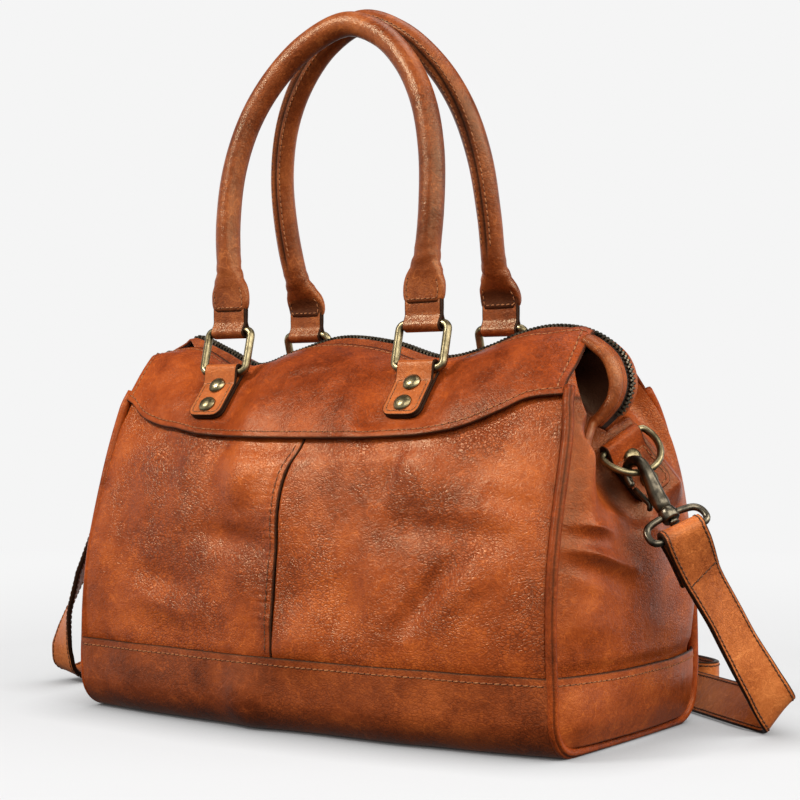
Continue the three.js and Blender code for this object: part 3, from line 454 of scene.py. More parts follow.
def frames(path, hints, cyclic=False):
    """Directions along a path: forwards, and the part of each hint that is square to it."""
    if cyclic:
        forward = unit(np.roll(path, -1, 0) - np.roll(path, 1, 0))
    else:
        forward = unit(np.vstack([path[1:], path[-1:]]) - np.vstack([path[:1], path[:-1]]))
    hints = np.broadcast_to(np.asarray(hints, float), path.shape)
    side = unit(hints - forward * np.sum(hints * forward, 1, keepdims=True))
    return forward, side, np.cross(forward, side)


# Meshes: a shape is its points, its faces and its shade (1 where its edge is painted dark and where shade
# is painted in)
def joined(*shapes):
    points, faces, shade, start = [], [], [], 0
    for p, f, s in shapes:
        points.append(p)
        shade.append(s)
        faces += [tuple(i + start for i in face) for face in f]
        start += len(p)
    return np.vstack(points), faces, np.concatenate(shade)


def mirrored(shape):
    points, faces, shade = shape
    return points * (-1, 1, 1), [face[::-1] for face in faces], shade


def placed(shape, place, x, y, z):
    points, faces, shade = shape
    return place + points @ np.array([x, y, z]), faces, shade


materials = {}


def new_piece(name, shape, finish, replaces, body="root", smooth=True):
    points, faces, shade = shape
    mesh = bpy.data.meshes.new(name)
    mesh.from_pydata((points * MM).tolist(), [], faces)
    mesh.attributes.new("shade", "FLOAT", "POINT").data.foreach_set("value", shade.astype(np.float32))
    mesh.polygons.foreach_set("use_smooth", [smooth] * len(mesh.polygons))
    mesh.validate()
    mesh.update()
    piece = bpy.data.objects.new(name, mesh)
    scene.collection.objects.link(piece)
    mesh.materials.append(materials[finish])
    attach(piece, body)
    for node in [replaces] if isinstance(replaces, str) else replaces:
        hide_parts(node)
    return piece


def grid_faces(wide, tall, start=0, closed=False):
    i = np.arange(wide if closed else wide - 1)
    j = np.arange(tall - 1)[:, None]
    right = (i + 1) % wide
    a = start + j * wide + i
    b = start + j * wide + right
    quads = np.stack([a, b, b + wide, a + wide], -1).reshape(-1, 4)
    return [tuple(q) for q in quads.tolist()]


def turned_out(points, faces):
    """Faces turned so that the closed shape's volume is positive."""
    volume = 0.0
    by_size = {}
    for face in faces:
        by_size.setdefault(len(face), []).append(face)
    for size, group in by_size.items():
        corners = points[np.array(group)]
        for k in range(1, size - 1):
            volume += np.einsum("ij,ij->i", corners[:, 0], np.cross(corners[:, k], corners[:, k + 1])).sum()
    return faces if volume > 0 else [face[::-1] for face in faces]


def loft(rings, shade=0.0, cyclic=False):
    """Closed shape through rings (n, m, 3), with flat ends or joined into a loop."""
    n, m = rings.shape[:2]
    rows = np.vstack([rings, rings[:1]]) if cyclic else rings
    faces = grid_faces(m, len(rows), closed=True)
    if cyclic:
        faces = [tuple(i % (n * m) for i in face) for face in faces]
    else:
        faces.append(tuple(range(m))[::-1])
        faces.append(tuple(range((n - 1) * m, n * m)))
    points = rings.reshape(-1, 3)
    return points, turned_out(points, faces), np.broadcast_to(shade, (n, m)).reshape(-1).astype(float)


def round_angles(sides):
    return np.linspace(0, 2 * np.pi, sides, endpoint=False)


def turned_angle(angle):
    """The same angle between minus and plus half a turn."""
    return np.angle(np.exp(1j * angle))


def squared(values, power):
    """Sines or cosines that make a rounder or a more square section."""
    return np.sign(values) * np.abs(values) ** power


def rod(path, radius, hint, sides=16, cyclic=False):
    """Round rod along a path whose bends lie roughly square to the hint."""
    _, side, up = frames(path, hint, cyclic)
    angle = round_angles(sides)[None, :, None]
    radius = np.broadcast_to(radius, len(path))[:, None, None]
    across = side[:, None] * np.cos(angle) * radius
    return loft(path[:, None] + across + up[:, None] * np.sin(angle) * radius, 0, cyclic)


BAND_EDGE_STEPS = 7
BAND_FLAT_STEPS = 7
BAND_FLAT_INSET = 0.3


def band_rings(path, side, up, half, low, high, edge):
    """Rings of a flat band with rounded edges; half may change along the path."""
    middle = (low + high) / 2
    thick = (high - low) / 2
    angle = np.linspace(-np.pi / 2, np.pi / 2, BAND_EDGE_STEPS)
    flat = np.linspace(-1, 1, BAND_FLAT_STEPS)
    level = np.ones(BAND_FLAT_STEPS)
    painted = np.ones(BAND_EDGE_STEPS)
    half = np.broadcast_to(half, len(path))[:, None]
    inner = half - edge
    right = inner + edge * np.cos(angle)
    top = -(inner - BAND_FLAT_INSET) * flat
    across = np.hstack([right, top, -right, -top])
    rise = np.concatenate([np.sin(angle), level, np.sin(angle[::-1]), -level])
    rise = np.broadcast_to(middle + thick * rise, across.shape)
    rings = path[:, None] + side[:, None] * across[..., None] + up[:, None] * rise[..., None]
    return rings, np.concatenate([painted, 0 * level, painted, 0 * level])


def surface_normals(point, u, v, step=1e-3):
    along = point(u + step, v) - point(u - step, v)
    up = point(u, v + step) - point(u, v - step)
    return unit(np.cross(along, up))


# Thickness of a sheet on its border and one line in, and how its edge paint fades from line to line
BORDER_THICK = 0.45
NEAR_THICK = 0.9
PAINT_FADE = (1.0, 0.85, 0.2)


def wall(point, us, vs, inner, outer, painted="left right bottom top", painted_shade=None, inside=1.0):
    """Sheet of leather between two offsets from point(u, v), with rounded borders, some painted dark, and
    painted shade on its inner face as strong as inside.
    """
    u, v = np.meshgrid(us, vs)
    base = point(u, v)
    normals = surface_normals(point, u, v)
    low = inner(u, v) if callable(inner) else np.full(u.shape, float(inner))
    high = outer(u, v) if callable(outer) else np.full(u.shape, float(outer))
    middle = (low + high) / 2
    border = np.zeros(u.shape, bool)
    border[[0, -1]] = True
    border[:, [0, -1]] = True
    near = np.zeros(u.shape, bool)
    near[1:-1, 1:-1] = True
    near[2:-2, 2:-2] = False
    thick = (high - low) / 2
    share = np.where(border, BORDER_THICK, np.where(near, NEAR_THICK, 1.0))
    top = base + normals * (middle + thick * share)[..., None]
    bottom = base + normals * (middle - thick * share)[..., None]
    tall, wide = u.shape
    layer = wide * tall
    faces = [face[::-1] for face in grid_faces(wide, tall)]
    faces += grid_faces(wide, tall, layer)
    ring = list(range(wide))
    ring += [j * wide + wide - 1 for j in range(1, tall)]
    ring += [layer - 1 - i for i in range(1, wide)]
    ring += [j * wide for j in range(tall - 2, 0, -1)]
    for a, b in zip(ring, ring[1:] + ring[:1]):
        faces.append((a, b, layer + b, layer + a))
    shade = np.zeros(u.shape)
    sides = {"left": shade.T, "right": shade.T[::-1], "bottom": shade, "top": shade[::-1]}
    for name in painted.split():
        for line, amount in enumerate(PAINT_FADE):
            sides[name][line] = np.maximum(sides[name][line], amount)
    # Painted shade laid over the outer face, where it is given
    if painted_shade:
        shade = np.maximum(shade, painted_shade(u, v))
    # The inner face carries painted shade, as strong as inside
    points = np.vstack([bottom.reshape(-1, 3), top.reshape(-1, 3)])
    return points, faces, np.concatenate([np.full(layer, inside), shade.reshape(-1)])


BORDER_CLEAR = 2.2


def with_borders(lines, margin):
    """Grid lines with extra lines close to both ends, for a crisp rounded border."""
    lines = np.asarray(lines, float)
    low, high = lines[0], lines[-1]
    clear = BORDER_CLEAR * margin
    inner = lines[(lines > low + clear) & (lines < high - clear)]
    start = [low, low + margin, low + 2 * margin]
    return np.concatenate([start, inner, [high - 2 * margin, high - margin, high]])


# Stitches: small raised capsules along a line that lies on a surface, with a dark spot of painted shade in
# the hole between them
STITCH_PITCH = 3.9
STITCH_LENGTH = 3.0
STITCH_HALF = 0.42
STITCH_TILT = 0.12
STITCH_LIFT = 0.12
STITCH_FLAT = 0.75
STITCH_LOOK = 0.5
HOLE_HALF = 0.42
HOLE_LONG = 1.25
HOLE_DEEP = 0.6
HOLE_RIM = [[1, 0, 0.2], [0, 1, 0.2], [-1, 0, 0.2], [0, -1, 0.2]]
HOLE_POINTS = np.array(HOLE_RIM + [[0, 0, 0.45], [0, 0, -1]], float)
HOLE_FACES = [(0, 1, 4), (1, 2, 4), (2, 3, 4), (3, 0, 4), (1, 0, 5), (2, 1, 5), (3, 2, 5), (0, 3, 5)]
CAPSULE_RINGS = table("along size", [
    [-0.97, 0.3],
    [-0.8, 0.8],
    [-0.3, 1],
    [0.3, 1],
    [0.8, 0.8],
    [0.97, 0.3],
])
CAPSULE_SIDES = 6
thread_shapes = {}
hole_shapes = []


def capsule():
    angle = round_angles(CAPSULE_SIDES)
    along = values_of(CAPSULE_RINGS, "along")[:, None]
    size = values_of(CAPSULE_RINGS, "size")[:, None]
    return loft(stack(along, size * np.cos(angle), size * np.sin(angle)))


CAPSULE = capsule()


def copies(template, places, x, y, z):
    """The template's points at each place, turned to the directions there."""
    return (places[:, None] + np.einsum("kj,njc->nkc", template, np.stack([x, y, z], 1))).reshape(-1, 3)


def stitches(points, normals, pitch=STITCH_PITCH, size=1.0, thread="thread"):
    """Row of stitches along a dense line of surface points."""
    along = lengths_along(points)
    count = int(along[-1] / pitch)
    if count < 1:
        return
    at = (np.arange(count) + 0.5) * along[-1] / count
    normal = unit(interpolated(normals, along, at))
    ahead = interpolated(points, along, at + STITCH_LOOK)
    behind = interpolated(points, along, at - STITCH_LOOK)
    forward = unit(ahead - behind)
    across = unit(np.cross(normal, forward))
    forward = unit(forward + STITCH_TILT * across)
    across = np.cross(normal, forward)
    place = interpolated(points, along, at) + normal * STITCH_LIFT
    template, capsule_faces, _ = CAPSULE
    long = STITCH_LENGTH / 2 * pitch / STITCH_PITCH
    scaled = template * (long, STITCH_HALF * size, STITCH_HALF * STITCH_FLAT * size)
    cloud = copies(scaled, place, forward, across, normal)
    thread_shapes.setdefault(thread, []).append((cloud, capsule_faces, len(place)))
    # Dark spots of painted shade in the holes between the stitches
    hole_at = np.concatenate([at - along[-1] / count / 2, [along[-1]]])
    hole = interpolated(points, along, hole_at)
    hole_normal = unit(interpolated(normals, along, hole_at))
    hole_across = unit(np.cross(hole_normal, np.vstack([forward, forward[-1:]])))
    hole_ahead = np.cross(hole_across, hole_normal)
    disc = HOLE_POINTS * (HOLE_HALF * HOLE_LONG, HOLE_HALF, HOLE_HALF * HOLE_DEEP) * (size, size, 1)
    spots = copies(disc, hole, hole_ahead, hole_across, hole_normal)
    hole_shapes.append((spots, HOLE_FACES, len(hole)))


def repeated(groups):
    """Many copies of one template joined into a single shape."""
    points, faces, start = [], [], 0
    for cloud, template_faces, copies in groups:
        size = len(cloud) // copies
        points.append(cloud)
        for k in range(copies):
            base = start + k * size
            faces += [tuple(i + base for i in face) for face in template_faces]
        start += len(cloud)
    cloud = np.vstack(points)
    return cloud, faces, np.zeros(len(cloud))


def line_on(point, u, v, offset):
    """Points and normals of a line (arrays u and v) lifted off the surface point(u, v)."""
    u, v = np.broadcast_arrays(np.asarray(u, float), np.asarray(v, float))
    normals = surface_normals(point, u, v)
    return point(u, v) + normals * np.asarray(offset, float)[..., None], normals


# Looks
def fill_ramp(node, stops):
    elements = node.color_ramp.elements
    while len(elements) < len(stops):
        elements.new(0.5)
    for element, (place, colour) in zip(elements, stops):
        element.position = place
        element.color = (*colour, 1)


GRAIN_STRETCH = (1, 1, 1.5)


class Nodes:
    """Short names for making a node tree."""

    def __init__(self, name):
        self.material = bpy.data.materials.new(name)
        self.material.use_nodes = True
        self.tree = self.material.node_tree
        self.shader = self.tree.nodes["Principled BSDF"]
        self.coords = self.tree.nodes.new("ShaderNodeTexCoord").outputs["Object"]

    def link(self, source, target):
        self.tree.links.new(source, target)

    def noise(self, scale, detail=4.0, rough=0.55, coords=None, distortion=0.0):
        node = self.tree.nodes.new("ShaderNodeTexNoise")
        node.inputs["Scale"].default_value = scale
        node.inputs["Detail"].default_value = detail
        node.inputs["Roughness"].default_value = rough
        node.inputs["Distortion"].default_value = distortion
        self.link(coords or self.coords, node.inputs["Vector"])
        return node.outputs["Fac"]

    def worms(self, scale, width, coords):
        """Fine wrinkles: 0 in winding thin valleys and 1 between them."""
        winding = self.noise(scale, detail=1.5, rough=0.5, coords=coords, distortion=0.4)
        height = self.math("ABSOLUTE", self.math("SUBTRACT", winding, 0.5), 0)
        return self.span(height, 0.0, width, 0.0, 1.0)

    def pebbles(self, scale, crack, coords):
        """Pebble grain: 0 in the cracks and 1 on the pebbles."""
        node = self.tree.nodes.new("ShaderNodeTexVoronoi")
        node.feature = "DISTANCE_TO_EDGE"
        node.inputs["Scale"].default_value = scale
        self.link(coords, node.inputs["Vector"])
        return self.span(node.outputs["Distance"], 0.0, crack, 0.0, 1.0)

    def warped(self, scale, amount):
        """Coordinates pushed about by a colour noise and closed up in height."""
        node = self.tree.nodes.new("ShaderNodeTexNoise")
        node.inputs["Scale"].default_value = scale
        self.link(self.coords, node.inputs["Vector"])
        push = self.tree.nodes.new("ShaderNodeVectorMath")
        push.operation = "MULTIPLY_ADD"
        push.inputs[1].default_value = (amount, amount, amount)
        self.link(node.outputs["Color"], push.inputs[0])
        self.link(self.coords, push.inputs[2])
        stretch = self.tree.nodes.new("ShaderNodeVectorMath")
        stretch.operation = "MULTIPLY"
        stretch.inputs[1].default_value = GRAIN_STRETCH
        self.link(push.outputs["Vector"], stretch.inputs[0])
        return stretch.outputs["Vector"]

    def math(self, operation, a, b):
        node = self.tree.nodes.new("ShaderNodeMath")
        node.operation = operation
        for socket, value in zip(node.inputs, (a, b)):
            if isinstance(value, (int, float)):
                socket.default_value = value
            else:
                self.link(value, socket)
        return node.outputs["Value"]

    def span(self, value, from_low, from_high, to_low, to_high):
        node = self.tree.nodes.new("ShaderNodeMapRange")
        limits = {"From Min": from_low, "From Max": from_high, "To Min": to_low, "To Max": to_high}
        for key, number in limits.items():
            node.inputs[key].default_value = number
        self.link(value, node.inputs["Value"])
        return node.outputs["Result"]

    def ramp(self, value, stops):
        node = self.tree.nodes.new("ShaderNodeValToRGB")
        fill_ramp(node, stops)
        self.link(value, node.inputs["Fac"])
        return node.outputs["Color"]

    def blend(self, factor, colour, over):
        """The colour, with a plain colour laid over it by the factor."""
        node = self.tree.nodes.new("ShaderNodeMix")
        node.data_type = "RGBA"
        self.link(factor, node.inputs["Factor"])
        self.link(colour, node.inputs["A"])
        node.inputs["B"].default_value = (*over, 1)
        return node.outputs["Result"]

    def attribute(self, name):
        node = self.tree.nodes.new("ShaderNodeAttribute")
        node.attribute_name = name
        return node.outputs["Fac"]

    def bump(self, height, strength, distance, under=None):
        node = self.tree.nodes.new("ShaderNodeBump")
        node.inputs["Strength"].default_value = strength
        node.inputs["Distance"].default_value = distance
        self.link(height, node.inputs["Height"])
        if under:
            self.link(under, node.inputs["Normal"])
        return node.outputs["Normal"]

    def set(self, **values):
        for key, value in values.items():
            self.shader.inputs[key.replace("_", " ")].default_value = value

    def to(self, output, key):
        self.link(output, self.shader.inputs[key])


# Dark colour of painted edges, also laid over the leather where shade is painted in
EDGE_PAINT_AND_SHADE = (0.022, 0.009, 0.005)
EDGE_PAINT_AND_SHADE_SHINE = 0.06
SHEEN_TINT = (1, 0.77, 0.44, 1)
# Leather: scales of its noises to the metre, and how much each adds to its tone and its relief
PATCH_SCALE, PATCH_TONE = 13, 0.55
CLOUD_SCALE, CLOUD_TONE = 48, 0.45
SPECK_SCALE, SPECK_TONE = 420, 0.22
SCRATCH_SCALE, SCRATCH_WIDTH, SCRATCH_TONE = 75, 0.016, 0.1
PEBBLE_SCALE, PEBBLE_CRACK = 420, 0.19
GROWN_SCALE, GROWN_LEAST = 17, 0.12
WRINKLE_SCALE, WRINKLE_WIDTH, WRINKLE_SHARE = 600, 0.15, 0.35
WRINKLE_TONE, WRINKLE_MIDDLE = 0.16, 0.2
WARP_SCALE, WARP_REACH = 60, 0.007
GRAIN_BUMP, GRAIN_DEPTH = 0.4, 0.0006
CREASE_SCALE, CREASE_BUMP, CREASE_DEPTH = 110, 0.3, 0.002
TONE_STOPS = (0.34, 0.5, 0.66)


def leather(name, dark, middle, bright, grain, rough, shine):
    """Waxed leather: mottled colour, cracked pebble grain, dark painted edges and painted shade."""
    n = Nodes(name)
    patches = n.noise(PATCH_SCALE, 4, 0.55)
    clouds = n.noise(CLOUD_SCALE, 6, 0.65)
    specks = n.noise(SPECK_SCALE, 4, 0.7)
    warped = n.warped(WARP_SCALE, WARP_REACH)
    grown = n.span(n.noise(GROWN_SCALE, 3), 0.4, 0.6, GROWN_LEAST, 1.0)
    cracks = n.math("SUBTRACT", 1.0, n.pebbles(PEBBLE_SCALE, PEBBLE_CRACK, warped))
    pebbles = n.math("MULTIPLY", cracks, grown)
    fine = n.math("MULTIPLY", n.worms(WRINKLE_SCALE, WRINKLE_WIDTH, warped), WRINKLE_SHARE)
    wrinkles = n.math("SUBTRACT", fine, pebbles)
    scratches = n.math("SUBTRACT", 1.0, n.worms(SCRATCH_SCALE, SCRATCH_WIDTH, warped))
    tone = n.math("MULTIPLY", patches, PATCH_TONE)
    for part, middle_value, amount in (
        (clouds, 0, CLOUD_TONE),
        (specks, 0.5, SPECK_TONE),
        (wrinkles, WRINKLE_MIDDLE, WRINKLE_TONE * grain),
        (scratches, 0, SCRATCH_TONE),
    ):
        tone = n.math("ADD", tone, n.math("MULTIPLY", n.math("SUBTRACT", part, middle_value), amount))
    colour = n.ramp(tone, list(zip(TONE_STOPS, (dark, middle, bright))))
    # The shade attribute brings both the dark edge paint and the painted shade
    shade = n.attribute("shade")
    n.to(n.blend(shade, colour, EDGE_PAINT_AND_SHADE), "Base Color")
    n.to(n.span(shade, 0, 1, shine, EDGE_PAINT_AND_SHADE_SHINE), "Specular IOR Level")
    n.to(n.span(clouds, 0.3, 0.7, rough - 0.08, rough + 0.1), "Roughness")
    n.set(Specular_Tint=SHEEN_TINT)
    creased = n.bump(n.noise(CREASE_SCALE, 5, 0.6, distortion=0.8), CREASE_BUMP, CREASE_DEPTH)
    n.to(n.bump(wrinkles, GRAIN_BUMP * grain, GRAIN_DEPTH, creased), "Normal")
    materials[name] = n.material


def metal(name, dark, bright, rough):
    """Aged metal: bright where it is rubbed, darker and duller in patches."""
    n = Nodes(name)
    patina = n.noise(150, 5, 0.6)
    n.to(n.ramp(patina, [(0.36, dark), (0.66, bright)]), "Base Color")
    n.to(n.span(patina, 0.3, 0.7, rough + 0.14, rough), "Roughness")
    n.set(Metallic=1.0)
    n.to(n.bump(n.noise(420, 3), 0.12, 0.0004), "Normal")
    materials[name] = n.material


def plain(name, dark, bright, scale, rough, bumps):
    """Thread, tape and other plain stuff with a little unevenness."""
    n = Nodes(name)
    n.to(n.ramp(n.noise(scale, 3), [(0.35, dark), (0.65, bright)]), "Base Color")
    n.set(Roughness=rough, Specular_IOR_Level=0.3)
    n.to(n.bump(n.noise(scale * 4, 3), bumps, 0.0005), "Normal")
    materials[name] = n.material


LEATHERS = table("name dark middle bright grain rough shine", [
    ["hide", (0.13, 0.0185, 0.003), (0.25, 0.041, 0.0056), (0.4, 0.081, 0.011), 1.0, 0.31, 0.38],
    ["gusset_hide", (0.14, 0.021, 0.0036), (0.255, 0.044, 0.0066), (0.39, 0.081, 0.0118), 0.7, 0.33, 0.32],
    ["side_band_hide", (0.13, 0.02, 0.003), (0.26, 0.046, 0.0075), (0.4, 0.088, 0.014), 0.35, 0.4, 0.36],
    ["yoke_hide", (0.1, 0.014, 0.0025), (0.22, 0.035, 0.0055), (0.34, 0.062, 0.0085), 0.5, 0.34, 0.2],
    ["band_hide", (0.08, 0.011, 0.002), (0.18, 0.03, 0.005), (0.31, 0.062, 0.01), 0.6, 0.42, 0.4],
    ["handle_hide", (0.08, 0.013, 0.0027), (0.185, 0.038, 0.008), (0.33, 0.088, 0.02), 0.5, 0.33, 0.4],
    ["tab_hide", (0.2, 0.04, 0.007), (0.33, 0.073, 0.013), (0.48, 0.12, 0.023), 0.35, 0.4, 0.34],
    ["strap_hide", (0.22, 0.046, 0.009), (0.42, 0.107, 0.023), (0.6, 0.185, 0.046), 0.5, 0.38, 0.36],
])
METALS = table("name dark bright rough", [
    ["brass", (0.1, 0.076, 0.036), (0.34, 0.275, 0.15), 0.27],
    ["bronze", (0.035, 0.03, 0.022), (0.16, 0.132, 0.09), 0.28],
])
PLAIN_STUFF = table("name dark bright scale rough bumps", [
    ["tape", (0.014, 0.008, 0.005), (0.035, 0.02, 0.012), 400, 0.85, 0.4],
    ["thread", (0.17, 0.05, 0.013), (0.33, 0.125, 0.04), 300, 0.7, 0.3],
    ["dark_thread", (0.045, 0.015, 0.005), (0.12, 0.042, 0.013), 300, 0.7, 0.3],
    # Near-black for the painted shade in the stitch holes
    ["hole", (0.012, 0.006, 0.003), (0.03, 0.014, 0.008), 300, 0.9, 0.1],
])
for make, looks in ((leather, LEATHERS), (metal, METALS), (plain, PLAIN_STUFF)):
    for look in looks:
        make(**look)


# Frames of the fittings: x along the loop, y out of the leaf, z from the leaf towards the loop
TAB_SLOPE = {"front": unit((0, -0.633, -0.774)), "back": unit((0, 0.72, -0.69))}
SIDE_TAB_PLACE = vec(166, -6, 166)
SIDE_TAB_BAR = unit((0.37, 0.775, 0.51))
SIDE_TAB_LEAF = unit((0.556, 0.255, -0.791))
HOOK_AXIS = unit((0.698, -0.168, -0.693))
LOOP_HOLE = RING_WIRE + WIRE_CLEAR
LOOP_OUTER = LOOP_HOLE + LEATHER
TAB_SEAT = LOOP_OUTER + WIRE_CLEAR
SIDE_TAB_SEAT = TAB_SEAT + GAP - LEATHER


def fitting_frame(place, across, leaf):
    return dict(place=place, x=across, y=np.cross(-leaf, across), z=-leaf)


tab_frames = {}
for face_name, handle in HANDLES.items():
    tab_frames[face_name] = []
    for end in (-1, 1):
        loop_place = vec(handle["x"] + end * handle["half"], handle["loop_y"], handle["loop_z"])
        frame_here = fitting_frame(loop_place, vec(handle["side"], 0, 0), TAB_SLOPE[face_name])
        tab_frames[face_name].append(frame_here)
side_frame = fitting_frame(SIDE_TAB_PLACE, -SIDE_TAB_BAR, SIDE_TAB_LEAF)
if side_frame["y"][0] < 0:
    side_frame["x"] = -side_frame["x"]
    side_frame["y"] = -side_frame["y"]


# Flat place under a tab: how far past its loop and its leaf's end, the distances from the leaf's middle
# line where it is quite flat and where it ends, and the fade of its ends
SEAT = dict(past_loop=8, past_leaf=3, flat=17, pulled=36, fade=14)


def seated(points, frame, length, depth):
    """Soft leather lies flat under a stiff tab."""
    offset = points - frame["place"]
    across = np.abs(offset @ frame["x"])
    down = -(offset @ frame["z"])
    beyond = np.maximum.reduce([-SEAT["past_loop"] - down, down - length - SEAT["past_leaf"], 0 * down])
    weight = 1 - smoothstep(across, SEAT["flat"], SEAT["pulled"])
    weight = weight * (1 - smoothstep(beyond, 0, SEAT["fade"]))
    return points - frame["y"] * ((offset @ frame["y"] + depth) * weight)[..., None]


def top_wave(x, z):
    lift = sum(wave["lift"] * bell(x - wave["x"], wave["reach"]) for wave in TOP_WAVES)
    return lift * smoothstep(z, WAVE_FROM, YOKE_TOP)


def top_shift(z):
    return TOP_SHIFT * smoothstep(z, TOP_SHIFT_FROM, YOKE_TOP)


CREASE_FADE = 0.15


def crease_depth(creases, a, b):
    """Depth at the places (a, b) of soft creases that run along short straight lines."""
    depth = np.zeros(np.broadcast(a, b).shape)
    for row in creases:
        way_a = row["to_a"] - row["a"]
        way_b = row["to_b"] - row["b"]
        share = ((a - row["a"]) * way_a + (b - row["b"]) * way_b) / (way_a**2 + way_b**2)
        share = np.clip(share, 0, 1)
        distance = np.hypot(a - row["a"] - share * way_a, b - row["b"] - share * way_b)
        swell = np.sin(np.pi * mix(CREASE_FADE, 1 - CREASE_FADE, share))
        depth += row["depth"] * bell(distance, row["reach"]) * swell
    return depth


def dented(creases, dents, a, b):
    """Depth at the places (a, b) of creases and of round dents together."""
    depth = crease_depth(creases, a, b)
    for row in dents:
        spot = bell(a - row["x"], row["reach_x"]) * bell(b - row["z"], row["reach_z"])
        depth = depth + row["depth"] * spot
    return depth


# Soft creases of the front: where each line runs (x and z), its reach and depth
FRONT_CREASES = table("a b to_a to_b reach depth", [
    [126, 139, 168, 125, 5, 3.6],
    [122, 131, 164, 117, 8, -2.8],
    [110, 106, 80, 66, 6, 5.0],
    [136, 104, 98, 76, 10, -4.4],
    [58, 136, 66, 162, 4, 2.2],
    [68, 121, 152, 114, 8, 3.6],
    [84, 160, 90, 132, 15, -3.6],
    [-44, 156, -40, 126, 14, -4.6],
    [-66, 112, -20, 106, 8, 4.0],
    [-114, 164, -98, 156, 7, 3.6],
    [-120, 74, -70, 62, 9, -3.0],
    [-124, 88, -84, 80, 7, 2.6],
    [-140, 176, -136, 90, 12, 2.2],
    [-160, 150, -158, 100, 12, -1.6],
    [-82, 172, -92, 134, 10, -2.0],
    [-60, 170, -62, 140, 9, 1.6],
    [-120, 62, -50, 58, 9, 0.9],
    [30, 84, -4, 76, 8, 1.2],
])
# Wrinkles of the yoke between the tabs
YOKE_CREASES = table("a b to_a to_b reach depth", [
    [-40, 208, -16, 216, 3, 1.3],
    [-30, 201, 2, 206, 3.4, 1.2],
    [-12, 214, 14, 208, 3, 1.2],
    [4, 217, 24, 211, 2.6, 1.0],
    [-56, 196, -34, 202, 4, 0.6],
    [10, 199, 36, 204, 4, 0.6],
    [92, 214, 104, 192, 5, 0.9],
    [-122, 212, -132, 194, 5, 0.8],
])


LUMP_REACH = (10, 26)


def lumps(seed, count, low, high, depth):
    """Scattered soft dents and swellings, the same in each run."""
    dice = np.random.default_rng(seed)
    places = dice.uniform(low, high, (count, 2))
    reaches = dice.uniform(*LUMP_REACH, (count, 2))
    depths = dice.uniform(-depth, depth, count)
    return table("x z reach_x reach_z depth", [
        [x, z, reach_x, reach_z, d] for (x, z), (reach_x, reach_z), d in zip(places, reaches, depths)])


FACE_LUMPS = lumps(5, 70, (-160, 10), (160, 185), 2.4)
BACK_LUMPS = lumps(8, 60, (-160, 10), (160, 185), 1.5)


def face_surface(rows, side, dents, creases, frame_list):
    middle = column(rows, "z", "middle")
    edge = column(rows, "z", "edge")
    half = column(rows, "z", "half_width")

    def surface(u, z):
        puffed = EDGE_BULGE * smoothstep(-u, BULGE_FROM, 1) * bell(z - BULGE_MIDDLE, BULGE_REACH)
        x = half(z) * u - top_shift(z) - puffed
        dent = dented(creases, dents, x, z)
        crown = 1 - np.abs(u) ** EDGE_POWER
        out = edge(z) + (middle(z) - edge(z) - dent) * crown + puffed * BULGE_OUT
        points = stack(x, side * out, z + top_wave(x, z))
        for frame in frame_list:
            points = seated(points, frame, TAB_LENGTH, TAB_SEAT)
        return points

    return dict(surface=surface, edge=edge, half=half)


front_dents = FRONT_DENTS + FACE_LUMPS
front_creases = FRONT_CREASES + YOKE_CREASES
faces = {
    "front": face_surface(FRONT, -1, front_dents, front_creases, tab_frames["front"]),
    "back": face_surface(BACK, 1, BACK_LUMPS, FRONT_CREASES, tab_frames["back"]),
}
yoke_seam = column(YOKE_SEAM, "x", "z")


def edge_u(face, z):
    return 1 - EDGE_CLEAR / face["half"](z)


def seam_height(face, u):
    return yoke_seam(face["half"](SEAM_LEVEL) * u)


SHARE_STEPS = 90


def share_at(point, u, distance, from_end):
    """The second parameter at a distance along the surface from its end 0 or 1, for each u."""
    shares = np.linspace(0, 1, SHARE_STEPS)
    if from_end:
        shares = shares[::-1]
    points = point(u[None, :], np.broadcast_to(shares[:, None], (SHARE_STEPS, len(u))))
    lengths = np.linalg.norm(np.diff(points, axis=0), axis=2)
    along = np.vstack([np.zeros(len(u)), np.cumsum(lengths, 0)])
    return np.array([np.interp(distance, along[:, i], shares) for i in range(len(u))])


# Body walls. The yokes and the base band lie on top, and the panels one layer below them.
PANEL_INNER = -2 * LEATHER - GAP
PANEL_OUTER = -LEATHER - GAP
BORDER_STITCH = 4.2
SEAM_BEND = 0.045
PUCKER = 0.5
PUCKER_WAVES = 210
TOP_STITCH = 4.6
END_STITCH = 4.5
# Painted shade on the yokes' inner face, lighter than on the other walls
YOKE_INSIDE_SHADE = 0.35
# Shares of a yoke's half width and height where its right end flares, curls and lifts and its rim rolls
END_FROM, CORNER_FROM = 0.86, 0.965
LEFT_ROLL = (0.72, 0.95)
FLARE_RISE = (0.15, 0.95)
CURL_RISE = (0.1, 0.5)
RIM_FROM = 0.72
# Grid of a yoke, and the stretches of its stitch rows
YOKE_LINES, YOKE_MARGIN = 230, 0.0035
YOKE_ROWS, YOKE_ROW_MARGIN = 50, 0.011
ROW_END, ROW_POINTS = 0.985, 500
END_ROW, END_ROW_POINTS = (0.1, 0.92), 80


